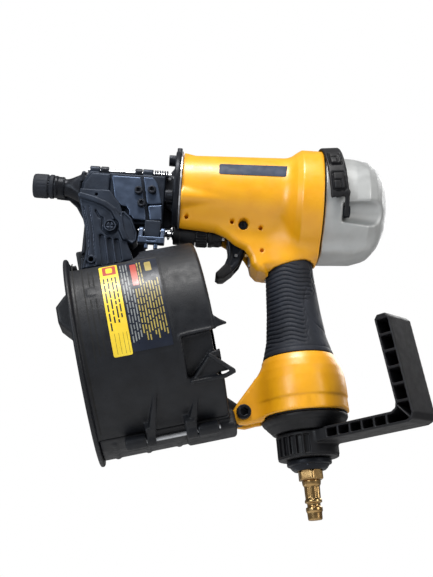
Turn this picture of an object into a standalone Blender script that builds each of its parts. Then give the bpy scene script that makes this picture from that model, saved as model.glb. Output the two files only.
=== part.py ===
"""Coil siding nailer: a pneumatic nail gun with a drum magazine, built piece by piece.

All dimensions are in millimetres and are turned into metres when a mesh is made.
The tool's frame: the driving axis is X, with the nose towards -X and the exhaust cap's flat
rear face at X = 0. +Z is up, the handle hangs down, and the tool's left side faces -Y.
"""
from math import atan2, cos, degrees, pi, radians, sin

import bmesh
import bpy
from mathutils import Matrix, Vector

MM = 0.001
GAP = 0.3
NAME = "coil_siding_nailer"

# Frames: (origin, tilt about Y, turn about the frame's own Z)
WORLD = ((0.0, 0.0, 0.0), 0.0, 0.0)
HANDLE_RAKE = 7.8
HANDLE_CROSSING_X = -78.8
HANDLE = ((HANDLE_CROSSING_X, 0.0, 0.0), -HANDLE_RAKE, 0.0)
DRUM_TILT = 15.0
DRUM_FRONT = (-217.4, -10.2, -139.7)
DRUM = (DRUM_FRONT, -DRUM_TILT, 0.0)

# Body casting
HOUSING_FRONT_X = -155.5
HOUSING_REAR_X = -50.5
BARREL_RADIUS_FRONT = 30.5
BARREL_RADIUS_REAR = 33.5
BARREL_END_X = -74.0
HEAD_START_X = -66.0
HEAD_RADIUS = 43.5
HEAD_DROP = 3.5
SLEEVE_BORE = 20.8
CHAMBER_RADIUS = 29.0
CHAMBER_START_X = -60.0
CHEEK = 16.0
GROOVE_HALF = 9.3
GROOVE_TOP = -24.0
NOSE_BOLT_CIRCLE = 28.5
NOSE_BOLT_ANGLES = (90.0, 205.0, 335.0)
BOLT_HOLE = 2.8

# Driving parts
SLEEVE_OUTER = 20.5
SLEEVE_INNER = 18.5
SLEEVE_X = (-149.0, -60.3)
PISTON_RADIUS = 18.2
PISTON_X = (-69.0, -61.0)
BLADE_RADIUS = 2.8
BLADE_FRONT_X = -180.0
NOSE_BORE = 4.6

# Exhaust cap
CAP_X = (-49.2, 0.0)
CAP_RADIUS = 39.8
CAP_FACE_RADIUS = 14.0
CAP_BOLTS = ((0.0, 32.6), (-30.7, -17.8), (30.7, -17.8))
CAP_CHANNELS = ((0.0, 35.1), (-32.9, -19.0), (32.9, -19.0))
CAP_BOLT_SEAT_X = -36.0

# Nose
NOSE_FRONT_X = -233.0
FLANGE_X = (-161.3, -157.2)
NOSE_BLOCK = ((-233.0, -161.0), (-8.0, 12.0), (-10.0, 12.0))
CHANNEL_WALL_Y = (1.0, 8.0)
TUBE_FRONT_X = -250.0
TUBE_RADIUS = 6.2
GATE_AXIS = (-9.5, 11.5)
GATE_PIN_RADIUS = 1.6
KNUCKLE_RADIUS = 3.6
GATE_KNUCKLES = ((-226.5, -218.6), (-186.0, -178.0))
NOSE_KNUCKLES = ((-218.2, -212.0), (-192.0, -186.4))
GATE_INNER_Y = -8.4
GATE_SCREWS = ((-187.6, -7.0), (-184.6, -17.0), (-177.6, -5.8))
LATCH_AXIS = (-17.3, -38.0)
LATCH_ARMS = ((-184.6, -181.4), (-168.6, -165.4))
NECK_SCREWS = ((-226.0, -54.0), (-218.5, -52.0))

# Contact trip
TRIP_AXIS_Z = -33.0
TRIP_ROD_RADIUS = 2.2
TRIP_ROD_REAR_X = -121.0
TIP_X = (-269.3, -253.6)
COLLAR_X = (-262.0, -245.5)
WHEEL_X = (-142.9, -133.7)
GUIDE_X = (-160.0, -122.8)

# Feed
FEED_X = -200.0
FEED_Y = 24.0
PAWL_AXIS = (10.8, -15.5)

# Trigger
TRIGGER_PIVOT = (-107.8, -28.0)
TRIGGER_LEVER_PIN = (-111.6, -49.2)
VALVE_Z = -45.0

# Handle, as distances down the handle's axis
# The casting gives way to the rubber along a plane that rises towards the rear.
GRIP_LINE = ((-70.5, 0.0, -54.5), -degrees(atan2(12.0, 35.0)), 0.0)
GRIP_END = 125.2
BELL_START = 125.6
BELL_END = 167.7
BELL_RADIUS = 32.5
CAP_TOP = 169.1
HUB_TOP = 180.5
HUB_END = 199.0
PLUG_END = 241.0
HOOK_TURN = 45.0
HOOK_REACH = 98.0
HOOK_HEIGHT = 76.0
HOOK_WIDTH = 27.6
HOOK = ((HANDLE_CROSSING_X + 190.0 * sin(radians(HANDLE_RAKE)), 0.0,
         -190.0 * cos(radians(HANDLE_RAKE))), -HANDLE_RAKE, -HOOK_TURN)

# Magazine, in the drum's frame: x along its axis, z up across it
DRUM_LENGTH = 93.0
DRUM_OUTER = 71.0
DRUM_INNER = 68.0
RIM_RADIUS = 75.0
COVER_SPAN = (99.9, 243.1)
BASE_SPAN = (-116.3, 99.6)
GATE_NOTCH = ((99.0, 130.5), (4.0, 52.0))
BASE_KNUCKLES = ((22.0, 34.8), (69.6, 84.0))
COVER_KNUCKLES = ((35.2, 41.2), (61.8, 69.2))
HINGE_RADIUS = 78.0
HINGE_ANGLE = -116.6
ARM_BOLT = (-100.5, -168.5)

FINISHES = {
    "paint": ((0.93, 0.52, 0.03), 0.38, 0.0),
    "aluminium": ((0.55, 0.54, 0.52), 0.45, 0.9),
    "steel": ((0.62, 0.63, 0.65), 0.28, 1.0),
    "black steel": ((0.09, 0.10, 0.12), 0.42, 0.8),
    "blue steel": ((0.22, 0.27, 0.34), 0.40, 0.8),
    "brass": ((0.72, 0.53, 0.22), 0.30, 1.0),
    "plastic": ((0.035, 0.035, 0.038), 0.55, 0.0),
    "rubber": ((0.06, 0.07, 0.09), 0.75, 0.0),
    "seal": ((0.02, 0.02, 0.02), 0.70, 0.0),
}


# ---------------------------------------------------------------- scene set-up

def clear_scene():
    for obj in list(bpy.data.objects):
        bpy.data.objects.remove(obj, do_unlink=True)


def new_collection(name):
    collection = bpy.data.collections.new(name)
    bpy.context.scene.collection.children.link(collection)
    return collection


clear_scene()
PARTS = new_collection(NAME)
CUTTERS = new_collection("construction")


def frame_matrix(frame):
    origin, tilt, turn = frame
    place = Matrix.Translation(Vector(origin) * MM)
    return place @ Matrix.Rotation(radians(tilt), 4, "Y") @ Matrix.Rotation(radians(turn), 4, "Z")


def place(obj, frame):
    matrix = frame_matrix(frame)
    obj.location = matrix.to_translation()
    obj.rotation_euler = matrix.to_euler()


def add_object(name, mesh, frame):
    obj = bpy.data.objects.new(name, mesh)
    CUTTERS.objects.link(obj)
    place(obj, frame)
    return obj


def mesh_from(name, bm):
    bmesh.ops.recalc_face_normals(bm, faces=bm.faces)
    mesh = bpy.data.meshes.new(name)
    bm.to_mesh(mesh)
    bm.free()
    return mesh


# ---------------------------------------------------------------- basic shapes

def box(xs, ys, zs, frame=WORLD, turn=None):
    """A box between two limits on each axis, turned by a matrix about its frame's origin."""
    bm = bmesh.new()
    bmesh.ops.create_cube(bm, size=1.0)
    size = [(limits[1] - limits[0]) * MM for limits in (xs, ys, zs)]
    middle = Vector([(limits[0] + limits[1]) * MM / 2 for limits in (xs, ys, zs)])
    bmesh.ops.scale(bm, vec=size, verts=bm.verts)
    bmesh.ops.translate(bm, vec=middle, verts=bm.verts)
    if turn is not None:
        bmesh.ops.transform(bm, matrix=turn, verts=bm.verts)
    return add_object("box", mesh_from("box", bm), frame)


def rod(axis, radius, span, at=(0.0, 0.0), frame=WORLD, segments=20, end_radius=None):
    """A cylinder or cone along an axis; `at` is its place on the other two axes, in order."""
    bm = bmesh.new()
    far = radius if end_radius is None else end_radius
    depth = (span[1] - span[0]) * MM
    bmesh.ops.create_cone(bm, cap_ends=True, segments=segments, radius1=radius * MM,
                          radius2=far * MM, depth=depth)
    turns = {"X": Matrix.Rotation(pi / 2, 4, "Y"), "Y": Matrix.Rotation(-pi / 2, 4, "X"),
             "Z": Matrix.Identity(4)}
    middle = (span[0] + span[1]) / 2
    centres = {"X": (middle, at[0], at[1]), "Y": (at[0], middle, at[1]), "Z": (at[0], at[1], middle)}
    centre = Vector(centres[axis]) * MM
    bmesh.ops.transform(bm, matrix=Matrix.Translation(centre) @ turns[axis], verts=bm.verts)
    return add_object("rod", mesh_from("rod", bm), frame)


def turned(axis, profile, at=(0.0, 0.0), frame=WORLD, segments=24, hollow=False):
    """A Screw modifier on a profile of (along, radius) points that runs down its outer side."""
    bm = bmesh.new()
    rows = {"X": lambda a, r: (a, r, 0), "Y": lambda a, r: (0, a, r), "Z": lambda a, r: (r, 0, a)}
    points = [bm.verts.new(Vector(rows[axis](a, r)) * MM) for a, r in profile]
    for first, second in zip(points, points[1:]):
        bm.edges.new((first, second))
    if hollow:
        bm.edges.new((points[-1], points[0]))
    mesh = bpy.data.meshes.new("turned")
    bm.to_mesh(mesh)
    bm.free()
    offsets = {"X": (0, at[0], at[1]), "Y": (at[0], 0, at[1]), "Z": (at[0], at[1], 0)}
    origin = frame_matrix(frame) @ (Vector(offsets[axis]) * MM)
    obj = add_object("turned", mesh, frame)
    obj.location = origin
    screw = obj.modifiers.new("Turn", "SCREW")
    screw.axis = axis
    screw.steps = segments
    screw.render_steps = segments
    screw.use_merge_vertices = True
    screw.merge_threshold = 0.00001
    return obj


def tube(axis, outer, inner, span, at=(0.0, 0.0), frame=WORLD, segments=24):
    low, high = span
    profile = [(high, inner), (high, outer), (low, outer), (low, inner)]
    return turned(axis, profile, at, frame, segments, hollow=True)


def slab(outline, span, frame=WORLD, plane="XZ"):
    """A flat outline, given in one plane of the frame, extruded across that plane."""
    curve = bpy.data.curves.new("slab", "CURVE")
    curve.dimensions = "2D"
    curve.fill_mode = "BOTH"
    curve.extrude = (span[1] - span[0]) * MM / 2
    spline = curve.splines.new("POLY")
    spline.points.add(len(outline) - 1)
    for point, (u, v) in zip(spline.points, outline):
        point.co = (u * MM, v * MM, 0.0, 1.0)
    spline.use_cyclic_u = True
    middle = (span[0] + span[1]) / 2 * MM
    turns = {"XZ": Matrix.Rotation(pi / 2, 4, "X"),
             "YZ": Matrix(((0, 0, 1, 0), (1, 0, 0, 0), (0, 1, 0, 0), (0, 0, 0, 1)))}
    shifts = {"XZ": (0, middle, 0), "YZ": (middle, 0, 0)}
    flat = bpy.data.objects.new("slab_curve", curve)
    CUTTERS.objects.link(flat)
    flat.matrix_world = frame_matrix(frame) @ Matrix.Translation(shifts[plane]) @ turns[plane]
    return mesh_of(flat, frame)


def mesh_of(curve_object, frame):
    """The welded mesh of a curve object, as a new object in the given frame."""
    bpy.context.view_layer.update()
    graph = bpy.context.evaluated_depsgraph_get()
    mesh = bpy.data.meshes.new_from_object(curve_object.evaluated_get(graph))
    local = frame_matrix(frame).inverted() @ curve_object.matrix_world
    bm = bmesh.new()
    bm.from_mesh(mesh)
    bmesh.ops.remove_doubles(bm, verts=bm.verts, dist=0.000005)
    bmesh.ops.transform(bm, matrix=local, verts=bm.verts)
    bpy.data.objects.remove(curve_object, do_unlink=True)
    return add_object("mesh", mesh_from("mesh", bm), frame)


def coil(axis, radius, wire, span, turns, at=(0.0, 0.0), frame=WORLD):
    """A helical spring, as a bevelled polyline with eight points a turn."""
    curve = bpy.data.curves.new("coil", "CURVE")
    curve.dimensions = "3D"
    curve.bevel_depth = wire * MM
    curve.bevel_resolution = 0
    curve.use_fill_caps = True
    count = int(turns * 8) + 1
    spline = curve.splines.new("POLY")
    spline.points.add(count - 1)
    for index, point in enumerate(spline.points):
        angle = 2 * pi * index / 8
        along = span[0] + (span[1] - span[0]) * index / (count - 1)
        ring = (radius * cos(angle), radius * sin(angle))
        places = {"X": (along, at[0] + ring[0], at[1] + ring[1]),
                  "Z": (at[0] + ring[0], at[1] + ring[1], along)}
        point.co = (*(Vector(places[axis]) * MM), 1.0)
    wound = bpy.data.objects.new("coil_curve", curve)
    CUTTERS.objects.link(wound)
    wound.matrix_world = frame_matrix(frame)
    return mesh_of(wound, frame)


# ---------------------------------------------------------------- joining and finishing

def hide_helper(obj):
    obj.hide_render = True
    obj.display_type = "WIRE"


def combine(obj, operation, others):
    for other in others:
        modifier = obj.modifiers.new(operation.title(), "BOOLEAN")
        modifier.operation = operation
        modifier.object = other
        hide_helper(other)
    return obj


def join(obj, *others):
    return combine(obj, "UNION", others)


def cut(obj, *others):
    return combine(obj, "DIFFERENCE", others)


def finish(obj, name, look, parent):
    """Name the piece, colour it and hang it on the empty that it moves with."""
    obj.name = name
    obj.data.name = name
    CUTTERS.objects.unlink(obj)
    PARTS.objects.link(obj)
    colour, roughness, metallic = FINISHES[look]
    material = bpy.data.materials.new(name)
    material.use_nodes = True
    shader = material.node_tree.nodes["Principled BSDF"]
    shader.inputs["Base Color"].default_value = (*colour, 1.0)
    shader.inputs["Roughness"].default_value = roughness
    shader.inputs["Metallic"].default_value = metallic
    material.diffuse_color = (*colour, 1.0)
    obj.data.materials.clear()
    obj.data.materials.append(material)
    obj.data.shade_smooth()
    obj.data.set_sharp_from_angle(angle=radians(35))
    obj.parent = parent
    obj.matrix_parent_inverse = Matrix.Translation(-parent.location)
    return obj


def pivot_empty(name, point):
    empty = bpy.data.objects.new(name, None)
    PARTS.objects.link(empty)
    empty.empty_display_size = 0.01
    empty.location = Vector(point) * MM
    return empty


def ring_places(radius, angles):
    """Points (y, z) on a circle about the driving axis, by angle from +Y towards +Z."""
    return [(radius * cos(radians(a)), radius * sin(radians(a))) for a in angles]


# ---------------------------------------------------------------- fasteners

def bolt(head_radius, head, shank_radius, shank_end, at, frame=WORLD, axis="X", sense=1):
    """A cap screw: its head spans `head`, and its shank runs on to `shank_end`."""
    outer, seat = head
    profile = [(outer, 0.0), (outer, head_radius), (seat, head_radius), (seat, shank_radius),
               (shank_end, shank_radius), (shank_end, 0.0)]
    if sense < 0:
        profile.reverse()
    piece = turned(axis, profile, at, frame, segments=12)
    depth = (outer - seat) * 0.55
    socket_span = sorted((outer + (outer - seat) * 0.2, outer - depth))
    return cut(piece, rod(axis, head_radius * 0.48, socket_span, at, frame, segments=6))


# ---------------------------------------------------------------- body casting

def housing():
    barrel = turned("X", [(HOUSING_REAR_X, 0), (HOUSING_REAR_X, HEAD_RADIUS - 1.0),
                          (HOUSING_REAR_X - 1.5, HEAD_RADIUS), (HEAD_START_X, HEAD_RADIUS),
                          (HEAD_START_X - 2, HEAD_RADIUS - 1.5), (BARREL_END_X - 4, 28.0),
                          (BARREL_END_X - 4, 0)], at=(0, -HEAD_DROP), segments=30)
    front = turned("X", [(HEAD_START_X, 0), (HEAD_START_X, BARREL_RADIUS_REAR + 1),
                         (BARREL_END_X, BARREL_RADIUS_REAR),
                         (HOUSING_FRONT_X, BARREL_RADIUS_FRONT), (HOUSING_FRONT_X, 0)],
                   segments=30)
    bosses = [rod("X", 5.2, (HOUSING_FRONT_X, -128.0), spot, segments=12, end_radius=2.0)
              for spot in ring_places(NOSE_BOLT_CIRCLE, NOSE_BOLT_ANGLES)]
    web = slab([(-155.5, -8), (-155.5, -29.5), (-128.5, -32.3), (-120, -37), (-113.2, -42.5),
                (-105.5, -46), (-101.5, -52), (-100, -58), (-95.5, -62.4),
                (-89.6, -62.8), (-88.9, -60.0), (-53.5, -48.2), (-50.8, -47.4), (-50.8, -20),
                (-60, -8)], (-CHEEK, CHEEK))
    grip_head = turned("Z", [(-20, 0), (-20, 17.6), (-78, 18.2), (-78, 0)], frame=HANDLE)
    cut(grip_head, box((-60, 60), (-40, 40), (-60, GAP / 2), frame=GRIP_LINE))
    core = turned("Z", [(-40, 0), (-40, 14.0), (-100, 16.6), (-GRIP_END - 0.3, 22.6),
                        (-GRIP_END - 0.3, 26.3), (-BELL_START - 9, BELL_RADIUS),
                        (-BELL_END, BELL_RADIUS), (-BELL_END, 0)], frame=HANDLE, segments=26)
    lug = slab([(-88, -139), (-93.5, -143), (-106, -162.5), (-108.3, -168.5), (-106, -175),
                (-100, -177), (-86, -172.5), (-74, -160)], (-11.8, 11.8))
    body = join(barrel, front, *bosses, web, grip_head, core, lug)
    bores = [rod("X", SLEEVE_BORE, (HOUSING_FRONT_X - 1, CHAMBER_START_X + 1), segments=24),
             rod("X", CHAMBER_RADIUS, (CHAMBER_START_X, HOUSING_REAR_X + 1), segments=24),
             turned("Z", [(-26, 0), (-26, 11.5), (-62, 11.5), (-100, 13.9), (-125, 19.6),
                          (-136, 24.0), (-136, 0)], frame=HANDLE, segments=20),
             return_chamber(),
             rod("Z", 31.8, (-190, -BELL_END - 0.15), frame=HANDLE, segments=20),
             rod("Z", 26.0, (-BELL_END - 1, -BELL_START - 9), frame=HANDLE, segments=32),
             box((HOUSING_FRONT_X - 1, -101.3), (-GROOVE_HALF, GROOVE_HALF), (-70, GROOVE_TOP)),
             rod("X", 9.8, (-102.5, -78.0), (0, VALVE_Z)),
             rod("Y", 2.1, (-20, 20), TRIGGER_PIVOT, segments=12),
             box((-120, -80), (-5.9, 5.9), (-190, -130.5)),
             rod("Y", 3.3, (-20, 20), ARM_BOLT, segments=12)]
    bores += [rod("X", BOLT_HOLE, (HOUSING_FRONT_X - 1, -143.5), spot, segments=12)
              for spot in ring_places(NOSE_BOLT_CIRCLE, NOSE_BOLT_ANGLES)]
    bores += [rod("X", BOLT_HOLE, (-62.0, HOUSING_REAR_X + 1), spot, segments=12)
              for spot in CAP_BOLTS]
    return finish(cut(body, *bores), "housing", "paint", parent=ROOT)


def return_chamber():
    """The air space around the sleeve, closed below by the floor above the trip's groove."""
    room = rod("X", 27.0, (-141, -74), segments=24)
    return cut(room, box((-150, -70), (-40, 40), (-40, -20.5)))


def rubber_grip():
    grip = turned("Z", [(-40, 14.3), (-40, 17.6), (-62, 17.8), (-111, 21.6), (-GRIP_END, 26.0),
                        (-GRIP_END, 22.9), (-100, 16.9)], frame=HANDLE, segments=26, hollow=True)
    cut(grip, box((-60, 60), (-40, 40), (-GAP / 2, 60), frame=GRIP_LINE))
    return finish(grip, "rubber_grip", "rubber", parent=ROOT)


def inner_parts():
    sleeve = turned("X", [(SLEEVE_X[1], SLEEVE_INNER), (SLEEVE_X[1], SLEEVE_OUTER),
                          (SLEEVE_X[0], SLEEVE_OUTER), (SLEEVE_X[0], SLEEVE_INNER)], hollow=True)
    finish(sleeve, "cylinder_sleeve", "aluminium", parent=ROOT)
    bumper = turned("X", [(-149.3, 6.0), (-149.3, 20.4), (-155.3, 20.4), (-155.3, 6.0)],
                    hollow=True)
    finish(bumper, "bumper", "seal", parent=ROOT)
    piston = turned("X", [(PISTON_X[1], 0), (PISTON_X[1], PISTON_RADIUS),
                          (PISTON_X[1] - 2, PISTON_RADIUS), (PISTON_X[1] - 2, 15.6),
                          (PISTON_X[1] - 5, 15.6), (PISTON_X[1] - 5, PISTON_RADIUS),
                          (PISTON_X[0], PISTON_RADIUS), (PISTON_X[0], 0)])
    finish(piston, "piston", "aluminium", parent=DRIVER)
    ring = tube("X", 18.4, 15.9, (PISTON_X[1] - 4.7, PISTON_X[1] - 2.3))
    finish(ring, "piston_ring", "seal", parent=DRIVER)
    blade = rod("X", BLADE_RADIUS, (BLADE_FRONT_X, PISTON_X[0] - 0.3), segments=20)
    finish(blade, "driver_blade", "steel", parent=DRIVER)
    valve = turned("X", [(-44.0, 16), (-44.0, 20), (-54.5, 20), (-54.5, 28.6), (-59.6, 28.6),
                         (-59.6, 10), (-56.5, 10), (-56.5, 16)], hollow=True)
    finish(valve, "head_valve", "plastic", parent=HEAD_VALVE)
    finish(coil("X", 12.6, 1.0, (-55.0, -14.8), 5), "head_valve_spring", "steel", parent=ROOT)


def exhaust_cap():
    shell = turned("X", [(CAP_X[1], 0), (CAP_X[1], CAP_FACE_RADIUS), (-2.2, 21.0), (-5.7, 27.8),
                         (-10, 32.8), (-16, 37.0), (-26, 38.8), (CAP_X[0], CAP_RADIUS),
                         (CAP_X[0], 0)], at=(0, -HEAD_DROP), segments=30)
    chin = slab([(CAP_X[0], -30), (CAP_X[0], -45.4), (-24, -43.6), (-12, -37.6), (-7, -29),
                 (-9, -24)], (-15, 15))
    join(shell, chin)
    bores = [rod("X", 26.0, (CAP_X[0] - 1, -13.0), segments=24)]
    bores += [rod("X", 7.0, (CAP_BOLT_SEAT_X, 1.0), spot, segments=12)
              for spot in CAP_CHANNELS]
    bores += [rod("X", BOLT_HOLE, (CAP_X[0] - 1, CAP_BOLT_SEAT_X + 1), spot, segments=12)
              for spot in CAP_BOLTS]
    finish(cut(shell, *bores), "exhaust_cap", "aluminium", parent=ROOT)
    for number, spot in enumerate(CAP_BOLTS, 1):
        screw = bolt(4.4, (CAP_BOLT_SEAT_X + 5.6, CAP_BOLT_SEAT_X + 0.3), 2.4, -62.0 + 0.6, spot)
        finish(screw, f"cap_bolt_{number}", "black steel", parent=ROOT)
    gasket = tube("X", CAP_RADIUS - 0.3, 29.5, (HOUSING_REAR_X + 0.3, CAP_X[0] - 0.3), segments=24)
    cut(gasket, *[rod("X", 3.2, (-52, -47), spot, segments=12)
                  for spot in CAP_BOLTS])
    finish(gasket, "cap_gasket", "seal", parent=ROOT)
    band_frame = ((-40.5, 0.0, -HEAD_DROP), -6.5, 0)
    band = turned("X", [(6.8, 40.8), (6.8, 46.8), (-6.8, 46.8), (-6.8, 45.2), (-2.6, 45.2),
                        (-2.6, 40.8)], frame=band_frame, segments=40, hollow=True)
    cut(band, box((-30, 30), (-60, 60), (-70, -8.5), frame=band_frame))
    bumps = [box((-4.0, 4.0), (45.8, 48.2), (-5.4, 5.4), frame=band_frame,
                 turn=Matrix.Rotation(radians(angle), 4, "X")) for angle in (5, 31, 149, 175)]
    finish(join(band, *bumps), "exhaust_deflector", "plastic", parent=ROOT)


# ---------------------------------------------------------------- nose and gate

def flange_outline(ear):
    """The nose flange: a round plate with an optional ear on top and a notch below."""
    radius = 33.4
    start, stop = -72.0, 252.0
    steps = 27
    arc = [(radius * cos(radians(start + (stop - start) * i / steps)),
            radius * sin(radians(start + (stop - start) * i / steps))) for i in range(steps + 1)]
    if ear:
        arc = [p for p in arc if abs(p[0]) > 6.5 or p[1] < 0]
        split = next(i for i, p in enumerate(arc) if p[0] < 0 and p[1] > 0)
        arc[split:split] = [(6.5, 34.5), (4.0, 38.5), (-4.0, 38.5), (-6.5, 34.5)]
    return arc + [(-10.3, -23.4), (10.3, -23.4)]


def nose():
    block = box(*NOSE_BLOCK)
    flange = slab(flange_outline(True), FLANGE_X, plane="YZ")
    wall = slab([(-228, -9), (-228, -67.5), (-180, -54.6), (-180, -9)], CHANNEL_WALL_Y)
    snout = rod("X", TUBE_RADIUS, (TUBE_FRONT_X, NOSE_FRONT_X + 2), segments=24)
    spine = slab([(-166, 9), (-158, 26), (-158, -20), (-166, -9)], (-4.5, 4.5))
    rear_wall = slab([(-181, -8), (-181, -27.5), (-163, -27.5), (-160.5, -22), (-160.5, -8)],
                     (1.5, 6.5))
    knuckles = [rod("X", KNUCKLE_RADIUS, span, GATE_AXIS) for span in NOSE_KNUCKLES]
    body = join(block, flange, wall, snout, spine, rear_wall, *knuckles)
    feed_slot = box((FEED_X - 6, FEED_X + 6), (-2, 14), (-31, -7.6))
    strip_path = box((-232.5, BLADE_FRONT_X - 1), (-9, 0.7), (-12, 3.2))
    bores = [rod("X", NOSE_BORE, (TUBE_FRONT_X - 1, -155), segments=24), strip_path, feed_slot,
             rod("X", GATE_PIN_RADIUS + 0.3, (-229, -175), GATE_AXIS, segments=12)]
    bores += [rod("X", KNUCKLE_RADIUS + 0.6, (low - 1.2, high + 0.2), GATE_AXIS, segments=20)
              for low, high in GATE_KNUCKLES]
    bores += [rod("X", BOLT_HOLE, (-163, -155), spot, segments=12)
              for spot in ring_places(NOSE_BOLT_CIRCLE, NOSE_BOLT_ANGLES)]
    bores += [rod("Y", 1.9, (0, 10), spot, segments=12) for spot in NECK_SCREWS]
    bores += [spring_room()]
    finish(cut(body, *bores), "nose_body", "black steel", parent=ROOT)
    gasket = slab(flange_outline(False), (FLANGE_X[1] + 0.3, HOUSING_FRONT_X - 0.3), plane="YZ")
    cut(gasket, rod("X", 21.0, (-160, -150), segments=32),
        *[rod("X", 3.2, (-160, -150), spot, segments=12)
          for spot in ring_places(NOSE_BOLT_CIRCLE, NOSE_BOLT_ANGLES)])
    finish(gasket, "nose_gasket", "aluminium", parent=ROOT)
    for number, spot in enumerate(ring_places(NOSE_BOLT_CIRCLE, NOSE_BOLT_ANGLES), 1):
        screw = bolt(4.3, (-167.2, FLANGE_X[0] - 0.3), 2.4, -144.3, spot, sense=-1)
        finish(screw, f"nose_bolt_{number}", "black steel", parent=ROOT)


def spring_room():
    """The space around the gate's return spring, at the rear end of the hinge pin."""
    return rod("X", KNUCKLE_RADIUS + 0.4, (-177.7, -164.0), GATE_AXIS, segments=20)


def gate():
    upper = slab([(-226.5, 9), (-168, 9), (-168, -32), (-201, -33), (-231.5, -17.5), (-231.5, -1)],
                 (-13.5, GATE_INNER_Y))
    lower = slab([(-231.5, -17), (-204, -23.8), (-199, -34.4), (-194, -46.2), (-187.6, -60.6),
                  (-186.4, -63.4), (-223.8, -73.6), (-221.6, -56.3), (-223.6, -43.1),
                  (-228.6, -25.8)], (-24.0, -10.3))
    ribs = [slab([(x, -44), (x + 2.0, -44), (x + 4.4, -64), (x + 2.4, -64)], (-25.2, -23.0))
            for x in (-216.0, -209.0, -202.6)]
    boss = rod("Y", 5.0, (-26.2, -20), (-205.9, -38.6), segments=20)
    heel = box((-181, -169), (-20, -9.4), (-43.5, -30))
    knuckles = [rod("X", KNUCKLE_RADIUS, span, GATE_AXIS) for span in GATE_KNUCKLES]
    body = join(upper, lower, *ribs, boss, heel, *knuckles)
    bores = [rod("X", KNUCKLE_RADIUS + 0.6, (NOSE_KNUCKLES[0][0] - 0.3, NOSE_KNUCKLES[1][1] + 0.3),
                 GATE_AXIS, segments=20),
             rod("X", GATE_PIN_RADIUS + 0.3, (-229, -175), GATE_AXIS, segments=12)]
    bores += [rod("Y", 1.7, (-14, -8), spot, segments=12) for spot in GATE_SCREWS]
    bores += [rod("X", 1.8, (-189, -165), LATCH_AXIS, segments=12), spring_room()]
    finish(cut(body, *bores), "gate", "black steel", parent=GATE)
    front = slab([(-208.6, 4.7), (-186.7, 4.7), (-180.8, -26.4), (-180.8, -29.6), (-189.8, -29.4),
                  (-193.6, -22.6), (-195.8, -19.6), (-199.6, -19.2), (-204.9, -14.0)],
                 (-18.3, -13.8))
    rear = slab([(-184.8, 5.0), (-177.3, 5.0), (-173.7, 0.2), (-169.3, -16.2), (-168.8, -29.2),
                 (-178.4, -29.6)], (-18.3, -13.8))
    for number, (plate, spots) in enumerate(((front, GATE_SCREWS[:2]), (rear, GATE_SCREWS[2:]))):
        cut(plate, *[rod("Y", 1.9, (-19, -13), spot, segments=12) for spot in spots])
        finish(plate, ("gate_plate_front", "gate_plate_rear")[number], "blue steel", parent=GATE)
    for number, spot in enumerate(GATE_SCREWS, 1):
        screw = bolt(3.1, (-21.6, -18.6), 1.4, -9.2, spot, axis="Y", sense=-1)
        finish(screw, f"gate_screw_{number}", "black steel", parent=GATE)
    pin = rod("X", GATE_PIN_RADIUS, (-228.0, -164.5), GATE_AXIS, segments=12)
    finish(pin, "gate_hinge_pin", "steel", parent=ROOT)
    spring = coil("X", 2.9, 0.5, (-176.0, -167.0), 5, at=GATE_AXIS)
    finish(spring, "gate_spring", "steel", parent=ROOT)
    catch = slab([(-20.8, -50.4), (-26.2, -50.4), (-26.2, -45.4), (-20.8, -45.4)],
                 (LATCH_ARMS[0][0], LATCH_ARMS[1][1]), plane="YZ")
    posts = [rod("Z", 1.6, (-54.3, -49), (x, -23.5), segments=10) for x in (-178.5, -171.5)]
    arms = [slab([(-26, -50), (-26, -45.6), (-19.8, -37), (-17, -35.5), (-15, -39), (-20.9, -50)],
                 span, plane="YZ") for span in LATCH_ARMS]
    eyes = [rod("X", 2.9, span, LATCH_AXIS, segments=12) for span in LATCH_ARMS]
    bail = join(catch, *posts, *arms, *eyes)
    finish(cut(bail, rod("X", 1.7, (-190, -160), LATCH_AXIS, segments=12)), "gate_latch", "blue steel",
           parent=LATCH)
    latch_pin = rod("X", 1.3, (-185.5, -164.5), LATCH_AXIS, segments=12)
    finish(latch_pin, "latch_pin", "steel", parent=GATE)


# ---------------------------------------------------------------- contact trip and feed

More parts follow.
